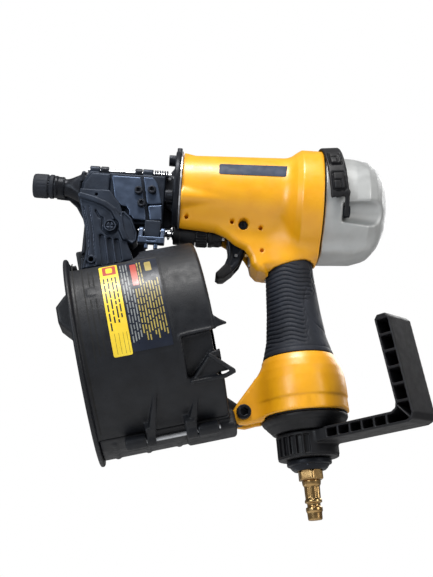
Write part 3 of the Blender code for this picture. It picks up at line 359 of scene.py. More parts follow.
# The lighter edge colour in each look is part wear and dust, part a painted edge highlight.
LOOKS = {
    "paint": dict(slot="yellow_paint", colour=(0.84, 0.385, 0.006), shade=(0.79, 0.345, 0.005),
                  rough=0.38, metal=0.0, grain=1500, bump=0.05, coat=0.25, edge_wear_and_sheen=(0.90, 0.52, 0.10)),
    "cast": dict(slot="grey_casting", colour=(0.47, 0.48, 0.48), shade=(0.42, 0.43, 0.43),
                 rough=0.50, metal=0.55, grain=1800, bump=0.22, edge_wear_and_sheen=(0.62, 0.63, 0.64)),
    "machined": dict(slot="machined_aluminium", colour=(0.55, 0.55, 0.56), shade=(0.42, 0.42, 0.43),
                     rough=0.34, metal=0.9, grain=900, bump=0.08, stretch=(0.05, 1.0, 1.0)),
    "steel": dict(slot="bright_steel", colour=(0.56, 0.57, 0.60), shade=(0.38, 0.39, 0.41),
                  rough=0.28, metal=1.0, grain=1200, bump=0.06, stretch=(0.08, 1.0, 1.0)),
    "black_steel": dict(slot="blackened_steel", colour=(0.013, 0.015, 0.021),
                        shade=(0.008, 0.009, 0.012), rough=0.40, metal=0.45, grain=1300, bump=0.12,
                        edge_wear_and_sheen=(0.085, 0.10, 0.13)),
    "dark_casting": dict(slot="blackened_steel", colour=(0.020, 0.027, 0.042),
                         shade=(0.011, 0.015, 0.024), rough=0.44, metal=0.45, grain=1100, bump=0.25,
                         edge_wear_and_sheen=(0.10, 0.12, 0.17)),
    "blue_steel": dict(slot="blue_steel", colour=(0.062, 0.085, 0.135), shade=(0.045, 0.062, 0.10),
                       rough=0.36, metal=0.75, grain=700, bump=0.07, stretch=(1.0, 1.0, 0.12),
                       edge_wear_and_sheen=(0.22, 0.27, 0.36)),
    "brass": dict(slot="brass", colour=(0.53, 0.36, 0.16), shade=(0.33, 0.20, 0.08), rough=0.27,
                  metal=1.0, grain=500, bump=0.10, edge_wear_and_sheen=(0.72, 0.58, 0.36)),
    "plastic": dict(slot="black_plastic", colour=(0.010, 0.010, 0.012), shade=(0.006, 0.006, 0.007),
                    rough=0.47, metal=0.0, grain=2300, bump=0.16, edge_wear_and_sheen=(0.030, 0.030, 0.034)),
    "drum": dict(slot="black_plastic", colour=(0.010, 0.011, 0.014), shade=(0.0065, 0.007, 0.009),
                 rough=0.46, metal=0.0, grain=1900, bump=0.30, edge_wear_and_sheen=(0.032, 0.034, 0.040)),
    "rubber": dict(slot="grip_rubber", colour=(0.019, 0.022, 0.031), shade=(0.013, 0.015, 0.021),
                   rough=0.62, metal=0.0, grain=2100, bump=0.18, edge_wear_and_sheen=(0.036, 0.04, 0.052)),
    "seal": dict(slot="seal_rubber", colour=(0.012, 0.012, 0.012), shade=(0.008, 0.008, 0.008),
                 rough=0.7, metal=0.0, grain=1500, bump=0.10),
    "badge": dict(slot="black_plastic", colour=(0.018, 0.030, 0.062), shade=(0.012, 0.020, 0.042),
                  rough=0.50, metal=0.1, grain=900, bump=0.03),
    "label_yellow": dict(slot="black_plastic", colour=(0.85, 0.62, 0.045), shade=(0.75, 0.52, 0.03),
                         rough=0.32, metal=0.0, grain=500, bump=0.02),
    "label_dark": dict(slot="black_plastic", colour=(0.015, 0.019, 0.032), shade=(0.011, 0.014, 0.024),
                       rough=0.34, metal=0.0, grain=500, bump=0.02),
    "label_red": dict(slot="black_plastic", colour=(0.40, 0.055, 0.045), shade=(0.42, 0.06, 0.035),
                      rough=0.35, metal=0.0, grain=500, bump=0.02),
    "label_grey": dict(slot="black_plastic", colour=(0.26, 0.27, 0.26), shade=(0.16, 0.17, 0.17),
                       rough=0.4, metal=0.0, grain=500, bump=0.02),
    "label_gold": dict(slot="black_plastic", colour=(0.42, 0.33, 0.075), shade=(0.28, 0.21, 0.05),
                       rough=0.4, metal=0.0, grain=500, bump=0.02),
}
MADE = {}


def material(look):
    """A procedural material: mottled colour, lighter edges that are part wear and part painted highlight,
    uneven gloss and a fine surface grain.
    """
    if look in MADE:
        return MADE[look]
    spec = LOOKS[look]
    made = bpy.data.materials.new(look)
    made.use_nodes = True
    nodes, links = made.node_tree.nodes, made.node_tree.links
    shader = nodes["Principled BSDF"]
    shader.inputs["Metallic"].default_value = spec["metal"]
    shader.inputs["Specular IOR Level"].default_value = 0.5 if max(spec["colour"]) > 0.1 else 0.26
    shader.inputs["Coat Weight"].default_value = spec.get("coat", 0.0)
    shader.inputs["Coat Roughness"].default_value = 0.25
    place = nodes.new("ShaderNodeTexCoord")
    mapping = nodes.new("ShaderNodeMapping")
    mapping.inputs["Scale"].default_value = spec.get("stretch", (1.0, 1.0, 1.0))
    links.new(place.outputs["Object"], mapping.inputs["Vector"])

    def noise(scale, detail, source):
        texture = nodes.new("ShaderNodeTexNoise")
        texture.inputs["Scale"].default_value = scale
        texture.inputs["Detail"].default_value = detail
        links.new(source, texture.inputs["Vector"])
        return texture.outputs["Fac"]

    def ranged(source, low, high, start, end):
        step = nodes.new("ShaderNodeMapRange")
        for socket, value in zip(("From Min", "From Max", "To Min", "To Max"), (low, high, start, end)):
            step.inputs[socket].default_value = value
        links.new(source, step.inputs["Value"])
        return step.outputs["Result"]

    def mixed(factor, first, second):
        mix = nodes.new("ShaderNodeMix")
        mix.data_type = "RGBA"
        links.new(factor, mix.inputs[0])
        for socket, value in ((mix.inputs[6], first), (mix.inputs[7], second)):
            if isinstance(value, tuple):
                socket.default_value = (*value, 1.0)
            else:
                links.new(value, socket)
        return mix.outputs[2]

    mottle = noise(70, 5, place.outputs["Object"])
    colour = mixed(ranged(mottle, 0.35, 0.65, 0.0, 1.0), spec["colour"], spec["shade"])
    # Sharp edges, found by pointiness and broken up by noise, get a lighter colour: part wear and dust,
    # part a painted highlight standing in for edge sheen.
    if "edge_wear_and_sheen" in spec:
        edge = nodes.new("ShaderNodeNewGeometry")
        scuff = noise(260, 4, place.outputs["Object"])
        worn_and_lit_edge = nodes.new("ShaderNodeMath")
        worn_and_lit_edge.operation = "MULTIPLY"
        links.new(ranged(edge.outputs["Pointiness"], 0.53, 0.60, 0.0, 0.75), worn_and_lit_edge.inputs[0])
        links.new(ranged(scuff, 0.38, 0.62, 0.15, 1.0), worn_and_lit_edge.inputs[1])
        colour = mixed(worn_and_lit_edge.outputs["Value"], colour, spec["edge_wear_and_sheen"])
    links.new(colour, shader.inputs["Base Color"])
    cloud = noise(160, 4, place.outputs["Object"])
    links.new(ranged(cloud, 0.3, 0.7, spec["rough"] - 0.07, spec["rough"] + 0.09),
              shader.inputs["Roughness"])
    bump = nodes.new("ShaderNodeBump")
    bump.inputs["Strength"].default_value = spec["bump"]
    bump.inputs["Distance"].default_value = 0.0004
    links.new(noise(spec["grain"], 3, mapping.outputs["Vector"]), bump.inputs["Height"])
    links.new(bump.outputs["Normal"], shader.inputs["Normal"])
    MADE[look] = made
    return made


# ---------------------------------------------------------------- body casting

BODY_X = (-155.5, -50.5)
NOSE_BOLTS = pair_of(28.5, (90.0, 205.0, 335.0))
CAP_BOLTS = ((0.0, 32.6), (-30.7, -17.8), (30.7, -17.8))
CAP_CHANNELS = ((0.0, 35.1), (-32.9, -19.0), (32.9, -19.0))
ARM_BOLT = (-100.5, -168.5)
TRIGGER_PIVOT = (-107.8, -28.0)
WEB = [(-170, -8), (-170, -29.5), (-155.5, -29.5), (-128.5, -32.3), (-120, -37), (-113.2, -42.5),
       (-105.5, -46), (-101.5, -52), (-100, -58), (-95.5, -62.4), (-89.6, -62.8), (-88.9, -60.0),
       (-53.5, -48.2), (-50.8, -47.4), (-50.8, -20), (-60, -8)]
SMALL_HOLES = ((-150.5, -25.0), (-116.4, -26.6), (-94.8, -29.8), (-93.0, -46.8))


def barrel_radius(x):
    return 30.5 + 3.0 * (x + 155.5) / 81.5


def housing(x, y, z):
    hx, hy, hz = into(HANDLE, WORLD, x, y, z)
    above = -into(GRIP_LINE, WORLD, x, y, z)[2]
    r, r_head, r_grip = rad(y, z), rad(y, z + 3.5), rad(hx, hy)
    front = outline([(-170, -9), (-170, 30.0), (-74, 33.5), (-58, 34.0), (-58, -9)], x, r)
    head = outline([(-88, -9), (-88, 24), (-80, 30.0), (-70.5, 40.4), (-66, 43.4), (-40, 43.4),
                    (-40, -9)], x, r_head)
    web = meet(5.0, outline(WEB, x, z), span(y, -16, 16))
    neck = meet(0.6, r_grip - 17.7, span(hz, -80, -18))
    bosses = merge(0, *[meet(1.5, rad(y, z, spot) - 6.8 + 0.19 * (x + 155.5), span(x, -170, -120))
                        for spot in NOSE_BOLTS])
    body = merge(9, merge(4, front, head), web)
    body = merge(8, body, neck)
    body = merge(3.2, body, bosses)
    body = carve(0, body, meet(0, r_grip - 19.0, -above - 0.05))
    body = meet(0.7, body, BODY_X[0] - x, x - BODY_X[1])
    bores = [rod(x, r, -170, -59, 20.8), rod(x, r, -60, -40, 29.0),
             rod(hz, r_grip, -140, -26, 11.5),
             meet(2.0, x + 101.3, span(y, -9.3, 9.3), z + 24),
             rod(x, rad(y, z + 45), -102.5, -78, 9.8),
             rod(y, rad(x, z, TRIGGER_PIVOT), -20, 20, 2.1),
             rod(y, rad(x, z, TRIGGER_PIVOT), -30, -15.3, 3.7)]
    bores += [rod(x, rad(y, z, spot), -170, -143.5, 2.8) for spot in NOSE_BOLTS]
    bores += [rod(x, rad(y, z, spot), -62, -40, 2.8) for spot in CAP_BOLTS]
    bores += [rod(y, rad(x, z, spot), -40, -12.5, 1.5) for spot in SMALL_HOLES]
    return carve(0.6, body, *bores)


LUG = [(-84, -137), (-93.5, -143.5), (-105.2, -161.5), (-108.4, -168.0), (-107.6, -173.4),
       (-103, -176.6), (-98, -176.8), (-86, -172.8), (-74, -160)]


def bell(x, y, z):
    wx, wy, wz = into(WORLD, HANDLE, x, y, z)
    r = rad(x, y)
    core = outline([(-50, -9), (-50, 13.6), (-100, 16.4), (-124.9, 22.4), (-127, 22.4),
                    (-127, -9)], z, r)
    cup = outline([(-125.6, -9), (-125.6, 26.2), (-130, 28.6), (-136, 30.8), (-143, 32.1),
                   (-150, 32.6), (-157.0, 32.7), (-157.8, 32.1), (-167.2, 32.5), (-167.7, 32.1),
                   (-167.7, -9)], z, r)
    lug = meet(2.4, outline(LUG, wx, wz), span(y, -11.8, 11.8))
    body = merge(0, merge(6, cup, lug), core)
    body = carve(0.4, body, meet(0, r - 26.0, z + 134.6), rod(z, r, -140, -40, 11.5),
                 meet(0, r - 31.8, z + 167.8),
                 meet(0.5, span(y, -5.9, 5.9), wx + 80, wz + 130.5),
                 rad(wx, wz, ARM_BOLT) - 3.3)
    return meet(0, body, -(z + 175.5), z + 52)


def grip(x, y, z):
    below = into(GRIP_LINE, HANDLE, x, y, z)[2]
    r = rad(x, y)
    body = outline([(-30, 14.3), (-30, 17.5), (-62, 18.0), (-90, 19.9), (-111, 22.2),
                    (-120, 24.6), (-125.2, 26.1), (-125.2, 22.9), (-100, 16.9)], z, r)
    body = meet(0.7, body, below + 0.15)
    edge = 9.5 - 4.5 * np.tanh((-z - 84) / 3.0) + 0.7 * np.sin(z * 0.8)
    wave = z + 0.9 * np.sin(x * 0.32 + 0.4) + 0.12 * x
    groove = np.clip((np.cos(wave * 2 * pi / 3.35) - 0.45) * 2.2, 0, 1)
    field_area = np.clip((edge - x) * 1.2, 0, 1) * np.clip(-(z + 55) / 3 - x * 0.1, 0, 1)
    field_area = field_area * np.clip((z + 119.5) / 1.5, 0, 1)
    seam = np.clip(1.2 - np.abs(x - edge - 1.2) * 1.6, 0, 1) * np.clip((z + 119) / 4, 0, 1)
    scroll = np.clip(1.1 - np.abs(rad(x - 28, z + 88) - 21.5) * 1.4, 0, 1) * np.clip((x - 4) * 0.5, 0, 1)
    ring = np.clip(1 - np.abs(z + 121.3) * 1.3, 0, 1)
    return body + 0.75 * groove * field_area + 0.5 * np.maximum(np.maximum(seam, scroll), ring)


def tool_body():
    solid("body_casting", "tool", "paint", ["housing"], (-157, -46.5, -72), (-48.5, 46.5, 43),
          0.85, housing, keep=0.45)
    solid("handle_bell", "tool", "paint", (), (-57, -35, -177.5), (35, 35, -50), 0.75, bell, HANDLE,
          keep=0.45)
    solid("grip_sleeve", "tool", "rubber", ["rubber_grip"], (-28, -28, -127), (28, 28, -38), 0.55,
          grip, HANDLE, keep=0.55)
    patch("side_badge", "tool", "badge", WORLD, (-128.3, -73.6), (151.0, 169.5), barrel_radius, 0.35,
          corner=1.6)
    patch("side_badge_right", "tool", "badge", WORLD, (-128.3, -73.6), (10.5, 29.0), barrel_radius,
          0.35, corner=1.6)


# ---------------------------------------------------------------- exhaust cap

def cap(x, y, z):
    shell = outline([(-70, -9), (-70, 39.8), (-49, 39.8), (-26, 38.9), (-16, 37.3), (-10, 33.2),
                     (-5.7, 28.2), (-2.2, 21.4), (0, 14.4), (0, -9)], x, rad(y, z + 3.5))
    chin = meet(3.5, outline([(-70, -18), (-70, -46.4), (-49, -45.4), (-24, -43.6), (-12, -37.8),
                              (-7.5, -31), (-5.5, -22)], x, z), span(y, -16, 16))
    body = meet(0.5, merge(8, shell, chin), -49.2 - x, x + 0.01)
    for spot in CAP_CHANNELS:
        way = rad(y, z, spot) - 7.0 - 0.09 * np.maximum(x + 36, 0)
        body = carve(2.4, body, meet(0.8, way, -36.0 - x))
    bores = [rod(x, rad(y, z), -70, -13, 26)]
    bores += [rod(x, rad(y, z, spot), -70, -30, 2.8) for spot in CAP_BOLTS]
    return carve(0.3, body, *bores)


def deflector(x, y, z):
    r = rad(y, z)
    turn = np.degrees(np.arctan2(z, np.abs(y)))
    outer = outline([(-6.8, 45.2), (-6.8, 46.0), (-6.0, 46.8), (6.0, 46.8), (6.8, 46.0), (6.8, 40.8),
                     (-2.6, 40.8), (-2.6, 45.2)], x, r)
    low = span(turn, -10.6 + 0.25 * x, 120) * 0.8
    band = meet(0.9, outer, low)
    tail = meet(0.6, np.abs(r - 45.0) - 1.0, span(x - 0.08 * (turn + 12), 3.6, 6.9),
                span(turn, -29, -6) * 0.8)
    body = merge(2.5, band, tail)
    for middle in (4.0, 31.5):
        arc = (turn - middle) * pi / 180 * 46
        window = meet(1.4, span(x, -5.2, 5.0), span(arc, -8.0, 8.0), 45.7 - r)
        body = carve(0.2, body, window)
        bump = meet(1.0, span(x, -4.0, 4.0), span(arc, -6.3, 6.3), span(r, 43.5, 48.2))
        notch = meet(0.1, span(arc, -0.5, 0.7), span(x, -5, 1.6), 47.3 - r)
        side = meet(0.1, span(x, 0.9, 1.9), span(arc, -6.0, 0.6), 47.3 - r)
        body = np.minimum(body, carve(0.2, bump, notch, side))
    return body


def exhaust_end():
    solid("cap_casting", "tool", "cast", ["exhaust_cap"], (-50.5, -43.5, -51), (1.5, 43.5, 40), 0.8,
          cap, keep=0.45)
    solid("deflector_band", "tool", "plastic", ["exhaust_deflector"], (-9.8, -49.7, -25),
          (9.8, 49.7, 49.7), 0.6, deflector, BAND, keep=0.6)
    for number, spot in enumerate(CAP_BOLTS, 1):
        screw(f"cap_screw_{number}", "tool", [f"cap_bolt_{number}"], "X", spot, (-30.4, -35.7), 4.4,
              25.5, "hex")


# ---------------------------------------------------------------- nose and gate

GATE_AXIS = (-9.5, 11.5)
GATE_SCREWS = ((-187.6, -7.0), (-184.6, -17.0), (-177.6, -5.8))
LATCH_AXIS = (-17.3, -38.0)
LATCH_ARMS = ((-184.6, -181.4), (-168.6, -165.4))
NECK_SCREWS = ((-226.0, -54.0), (-218.5, -52.0))


def nose_body(x, y, z):
    r = rad(y, z)
    hinge = rad(y, z, GATE_AXIS)
    disc = meet(0, r - 33.4, -(z + 23.4) + np.maximum(np.abs(y) - 10.3, 0) * -4)
    ear = meet(1.0, span(y, -6.0, 6.0) + np.maximum(z - 34.0, 0) * 0.5, span(z, 20, 38.4))
    plate = meet(0.7, np.minimum(disc, ear), span(x, -161.3, -157.2))
    barrel = meet(1.5, span(x, -233, -161), span(y, -8, 12), span(z, -10, 12))
    wall = meet(0.8, outline([(-228, -9), (-228, -67.5), (-180, -54.6), (-180, -9)], x, z),
                span(y, 1, 8))
    snout = rod(x, r, -250, -231, 6.2, 0.6)
    flare = meet(1.0, r - 6.2 - 0.45 * np.maximum(x + 243.5, 0), span(x, -246, -232.0), -7.8 - y)
    spine = meet(1.0, outline([(-170, 9), (-158, 27), (-158, -21), (-170, -9)], x, z),
                 span(y, -4.5, 4.5))
    shelf = meet(1.0, outline([(-185, 9), (-158, 9), (-158, 15), (-163, 16), (-168, 13)], x, z),
                 span(y, -1.5, 9))
    rear_wall = meet(0.8, outline([(-181, -6), (-181, -27.5), (-163, -27.5), (-160.2, -22),
                                   (-160.2, -6)], x, z), span(y, 1.5, 6.5))
    knuckles = merge(0, rod(x, hinge, -218.2, -212, 3.6, 0.5), rod(x, hinge, -192, -186.4, 3.6, 0.5))
    body = merge(1.6, barrel, plate, wall, snout, flare, spine, shelf, rear_wall, knuckles)
    bores = [rod(x, r, -260, -150, 4.6),
             meet(0.3, span(x, -232.5, -181), span(y, -12, 0.7), span(z, -13, 3.2)),
             meet(0.3, span(x, -206, -194), span(y, -2, 14), span(z, -31, -7.6)),
             hinge - 1.9, rod(x, hinge, -230.2, -218.4, 4.2), rod(x, hinge, -186.2, -177.8, 4.2),
             rod(x, hinge, -177.9, -163.8, 4.0),
             rod(x, rad(y, z - 34.4), -170, -150, 1.6)]
    bores += [rod(x, rad(y, z, spot), -163.5, -150, 2.8) for spot in NOSE_BOLTS]
    bores += [rod(y, rad(x, z, spot), -2, 12, 1.9) for spot in NECK_SCREWS]
    return carve(0.2, body, *bores)


def gate(x, y, z):
    hinge = rad(y, z, GATE_AXIS)
    upper = meet(0.9, outline([(-226.3, 9), (-168.2, 9), (-168.2, -30), (-201, -33), (-231.3, -17.5),
                               (-231.3, -1)], x, z), span(y, -13.5, -8.4))
    crown = meet(1.4, outline([(-224.5, 7.6), (-210, 7.6), (-210, -10), (-230, -10), (-230, -1.5)],
                              x, z), span(y, -15.2, -10))
    shelf = meet(0.7, outline([(-231.2, -8.2), (-209, -8.2), (-204, -14.5), (-200.5, -18.5),
                               (-197.5, -27), (-202, -27), (-207.5, -21.5), (-231.2, -14)],
                              x, z), span(y, -20.2, -10))
    lower = meet(1.1, outline([(-231.3, -16), (-204, -23.2), (-199, -34.4), (-194, -46.2),
                               (-187.6, -60.6), (-186.6, -63.2), (-223.6, -73.2), (-221.6, -56.3),
                               (-223.6, -43.1), (-228.6, -25.8)], x, z), span(y, -23.4, -10.3))
    sweep = path([(-229.5, -15.5), (-221, -17.6), (-211, -21.2), (-204.5, -25.6), (-200.4, -32.5),
                  (-197.4, -40.5), (-194.2, -47)], x, z)
    ridge = meet(1.0, sweep - 2.2, span(y, -25.4, -12))
    tongue = [(-199.6, -26.6), (-196.0, -26.2), (-190.6, -31.2), (-185.6, -42.6), (-185.4, -48.6),
              (-188.3, -51.6), (-192.2, -49.6), (-196.8, -41.0)]
    leaf = meet(0.9, outline(tongue, x, z), span(y, -24.6, -11))
    heel = meet(0.8, span(x, -181, -169), span(y, -20, -9.4), span(z, -43.5, -30))
    knuckles = merge(0, rod(x, hinge, -226.4, -218.6, 3.6, 0.8), rod(x, hinge, -186, -178, 3.6, 0.6))
    body = merge(1.2, upper, crown, shelf, lower, ridge, leaf, heel)
    face = y + 23.4

    def channel(points, half, depth):
        """A groove cut into the lower casting's outer face along a line of points."""
        return meet(0.3, path(points, x, z) - half, face - depth)

    boss = (-205.9, -38.6)
    key = meet(0, np.abs(rad(x, z, boss) - 6.0) - 0.6, face - 1.2, z + 34.4 - 0.5 * (x + 206))
    grooves = [channel([(-226.6, -25), (-221.6, -43), (-219.4, -58), (-220.4, -70)], 0.5, 0.9),
               channel([(-222.6, -24), (-218.0, -43), (-215.4, -60), (-214.4, -69.0)], 0.5, 0.9),
               channel([(-217.6, -26.6), (-214.6, -31.4), (-212.0, -32.4), (-211.6, -37)], 0.8, 1.6),
               channel([(-201.4, -50), (-198.4, -57), (-195.4, -63)], 0.4, 0.7), key]
    grooves += [channel([(top, high), (low, deep)], 1.9, 2.0)
                for top, high, low, deep in ((-211.6, -47.0, -207.4, -67.0), (-205.6, -49.2, -202.2, -65.6),
                                             (-200.3, -49.6, -197.2, -63.8))]
    body = carve(0.6, body, *grooves)
    stud = meet(0.6, rad(x, z, boss) - 4.6, span(y, -25.6, -20))
    body = np.minimum(body, carve(0.2, stud, meet(0, rad(x, z, boss) - 3.5, face + 0.6)))
    pin_head = meet(0.5, rad(x, z, boss) - 2.9, span(y, -25.2, -20))
    cross = np.minimum(np.abs(x - boss[0]), np.abs(z - boss[1])) - 0.45
    body = np.minimum(body, carve(0.1, pin_head, meet(0, cross, y + 24.4)))
    inner_leaf = meet(0.4, outline(tongue, x, z) + 1.5, y + 23.4)
    body = carve(0.4, body, inner_leaf)
    body = merge(0.8, body, knuckles)
    eye = rad(x + 217.3, z + 65.4)
    body = np.minimum(body, meet(0.5, eye - 3.3, span(y, -24.3, -14)))
    bores = [rod(x, hinge, -218.5, -186.1, 4.2), hinge - 1.9, rod(x, hinge, -177.7, -160, 4.0),
             rod(x, rad(y, z, LATCH_AXIS), -190, -160, 1.8), meet(0, eye - 1.8, y + 18),
             rod(y, rad(x, z, (-218.6, -12.4)), -30, -17.5, 1.2)]
    bores += [rod(y, rad(x, z, spot), -16, -8, 1.7) for spot in GATE_SCREWS]
    return carve(0.1, body, *bores)


def front_plate(x, y, z):
    shape = outline([(-208.6, 4.7), (-186.9, 4.7), (-180.8, -26.4), (-180.8, -29.6), (-189.8, -29.4),
                     (-191.4, -27.0), (-193.2, -26.4), (-193.4, -23.0), (-195.8, -19.6),
                     (-199.6, -19.2), (-204.9, -14.0)], x, z)
    plate = meet(0.45, shape, span(y, -18.3, -13.8))
    return carve(0, plate, *[rad(x, z, spot) - 1.9 for spot in GATE_SCREWS[:2]])


def rear_plate(x, y, z):
    upper = meet(0.45, outline([(-184.8, 5.0), (-177.3, 5.0), (-173.7, 0.2), (-169.6, -15.4),
                                (-176.6, -16.6), (-180.6, -16.4)], x, z), span(y, -18.3, -13.8))
    lower = meet(0.6, outline([(-179.6, -18.6), (-169.4, -17.2), (-168.8, -29.0), (-177.6, -29.6)],
                              x, z), span(y, -19.3, -13.8))
    bridge = meet(0.2, outline([(-178.8, -14), (-171, -13), (-170.5, -20), (-178, -21)], x, z),
                  span(y, -16.4, -13.8))
    return carve(0, merge(0, upper, lower, bridge), rad(x, z, GATE_SCREWS[2]) - 1.9)


def latch(x, y, z):
    (a0, a1), (b0, b1) = LATCH_ARMS
    catch = meet(0.5, span(x, a0, b1), span(y, -26.2, -20.8), span(z, -50.4, -45.4))
    slot = meet(0.2, span(x, -178.5, -171.5), span(z, -48.6, -47.7), y + 25.5)
    arm = outline([(-26, -50), (-26, -45.6), (-19.8, -37), (-17, -35.5), (-15, -39), (-20.9, -50)], y, z)
    arms = merge(0, *[meet(0.4, arm, span(x, low, high)) for low, high in LATCH_ARMS])
    eyes = merge(0, *[rod(x, rad(y, z, LATCH_AXIS), low, high, 2.9, 0.4) for low, high in LATCH_ARMS])
    posts = merge(0, *[rod(z, rad(x - at, y + 23.5), -54.3, -48, 1.6, 0.4) for at in (-178.5, -171.5)])
    body = merge(0.8, carve(0.2, catch, slot), arms, eyes, posts)
    return carve(0, body, rad(y, z, LATCH_AXIS) - 1.7)


def nose_end():
    solid("nose_casting", "tool", "black_steel", ["nose_body"], (-252, -35, -69.5), (-155.5, 35, 40),
          0.75, nose_body, keep=0.45)
    solid("gate_casting", "gate", "dark_casting", ["gate"], (-232.5, -27.0, -75), (-167, -4.5, 16.5),
          0.5, gate, keep=0.5)
    solid("gate_cover_front", "gate", "blue_steel", ["gate_plate_front"], (-210, -19.5, -31),
          (-178, -12.5, 7.5), 0.4, front_plate, keep=0.4)
    solid("gate_cover_rear", "gate", "blue_steel", ["gate_plate_rear"], (-186, -20.5, -31),
          (-167.5, -12.5, 7.5), 0.4, rear_plate, keep=0.4)
    for number, spot in enumerate(GATE_SCREWS, 1):
        screw(f"cover_screw_{number}", "gate", [f"gate_screw_{number}"], "Y", spot, (-21.6, -18.5),
              3.1, 9.3, "hex", look="black_steel")
    solid("latch_bail", "gate_latch", "blue_steel", ["gate_latch"], (-186, -27.5, -56), (-164, -13, -33),
          0.4, latch, keep=0.5)
    for number, spot in enumerate(NOSE_BOLTS, 1):
        screw(f"nose_screw_{number}", "tool", [f"nose_bolt_{number}"], "X", spot, (-167.2, -161.4),
              4.3, 17.0, "hex")
    spring("hinge_spring", "tool", "black_steel", ["gate_spring"], "X", 2.9, 0.5, (-176.4, -167.0), 6,
           GATE_AXIS)


# ---------------------------------------------------------------- contact trip and feed

TRIP_Z = -33.0


def foot(x, y, z):
    r = rad(y, z)
    collar = merge(0.6, rod(x, r, -262, -245.5, 8.0, 0.6), rod(x, r, -253.5, -250.5, 8.6, 0.8))
    lug = meet(0.8, span(x, -252.6, -246), span(y, 4, 14), span(z, -3.6, 3.6))
    arm = meet(1.0, outline([(-253.2, -4.2), (-253.2, 4.2), (-236.5, 4.2), (-231, 1.5),
                             (-216.6, -28.6), (-216.6, -36.5), (-224.6, -36.5), (-230.5, -20.5),
                             (-236.8, -10.2), (-243.2, -4.8)], x, z), span(y, 12.6, 15.4))
    rib = meet(0.6, path([(-250, 0), (-238, -0.5), (-232, -6), (-221, -31)], x, z) - 1.2,
               span(y, 12.0, 16.0))
    elbow = meet(1.0, span(x, -224.2, -217.2), span(y, 9.8, 14.8), span(z, -36.2, -29.8))
    bar = meet(1.0, span(x, -223.4, -172.6), span(y, 9.2, 12.2), span(z, -36.5, -29.6))
    cross = meet(1.0, span(x, -177.0, -172.6), span(y, -2.6, 12.2), span(z, -36.4, -29.7))
    body = merge(1.6, collar, lug, merge(1.0, arm, rib), elbow, bar, cross)
    return carve(0.2, body, r - 6.5, rod(x, rad(y, z - TRIP_Z), -180, -170, 1.5))


def tip(x, y, z):
    r = rad(y, z)
    body = outline([(-269.3, 5.4), (-269.3, 8.2), (-268.6, 9.1), (-266.8, 9.4), (-258.6, 9.4),
                    (-257.8, 8.7), (-256.8, 8.7), (-256.2, 9.4), (-253.6, 9.2), (-253.6, 8.3),
                    (-262.4, 8.3), (-262.4, 5.4)], x, r)
    ribs = 0.25 * np.clip(np.cos(np.arctan2(z, y) * 20), 0, 1) * (x < -259) * (x > -266)
    return meet(0.2, body, body + ribs)


def trip_guide(x, y, z):
    r = rad(y, z - TRIP_Z)
    body = outline([(-160, 5.0), (-160, 7.2), (-159.3, 7.6), (-155, 7.6), (-154.6, 7.1), (-146, 7.4),
                    (-143.2, 7.4), (-143.2, 4.5), (-133.4, 4.5), (-133.4, 8.0), (-130.5, 8.0),
                    (-130, 7.5), (-125, 7.5), (-122.8, 6.6), (-122.8, 2.6), (-146, 2.6),
                    (-146, 5.0)], x, r)
    ribs = 0.35 * np.clip(np.cos(np.arctan2(z - TRIP_Z, y) * 14) * 3, 0, 1) * (x > -129) * (x < -124)
    return body + ribs


def wheel(x, y, z):
    r = rad(y, z - TRIP_Z)
    ribs = 0.5 * np.clip(np.cos(np.arctan2(z - TRIP_Z, y) * 24) * 2, -1, 1)
    rim = meet(0.5, r - 7.9 - ribs * (np.abs(x + 138.3) < 3.6), span(x, -142.9, -133.7), 4.8 - r)
    return rim


def feed_body(x, y, z):
    r = rad(x + 200, y - 24)
    barrel = rod(z, r, -62, -33, 9.6, 0.8)
    rings = merge(0, *[rod(z, r, low, low + 2.2, 10.0, 0.5) for low in (-62, -56, -50, -44, -38, -35.2)])
    foot_block = meet(1.2, span(x, -209, -191), span(y, 8.4, 18), span(z, -60, -42))
    port = rod(z, rad(x + 206.2, y - 13), -60, -40, 2.4, 0.5)
    body = merge(1.5, merge(0.4, barrel, rings), foot_block, port)
    hexes = meet(0.4, hexagon(x + 200, y - 24, 5.0), span(z, -62.0, -59.0))
    body = merge(0, body, hexes)
    bolts = [meet(0, rad(x - at, z + 51) - 1.6, y - 9.0) for at in (-206.0, -194.0)]
    return carve(0.2, body, rod(z, r, -59, -30, 7.6), *[b for b in bolts[:0]])


def trip_and_feed():
    solid("trip_foot", "contact_trip", "black_steel", ["contact_foot"], (-263.5, -9.5, -38),
          (-171, 17, 9.5), 0.6, foot, keep=0.45)
    solid("soft_tip", "contact_trip", "rubber", ["no_mar_tip"], (-270.5, -10.6, -10.6),
          (-252.5, 10.6, 10.6), 0.4, tip, keep=0.6)
    solid("guide_tube", "tool", "plastic", ["trip_guide"], (-161, -9.2, -42.2), (-121.5, 9.2, -23.8),
          0.42, trip_guide, keep=0.5)
    solid("knurled_wheel", "depth_wheel", "plastic", ["depth_wheel"], (-144, -9.4, -42.4),
          (-132.6, 9.4, -23.6), 0.36, wheel, keep=0.6)
    solid("feed_barrel", "tool", "machined", ["feed_cylinder"], (-211, 7.4, -63.2), (-189, 35, -32),
          0.5, feed_body, keep=0.5)
    spring("guide_spring", "tool", "black_steel", ["trip_spring"], "X", 3.9, 0.5, (-171.6, -146.8), 8,
           (0.0, TRIP_Z))


# ---------------------------------------------------------------- trigger

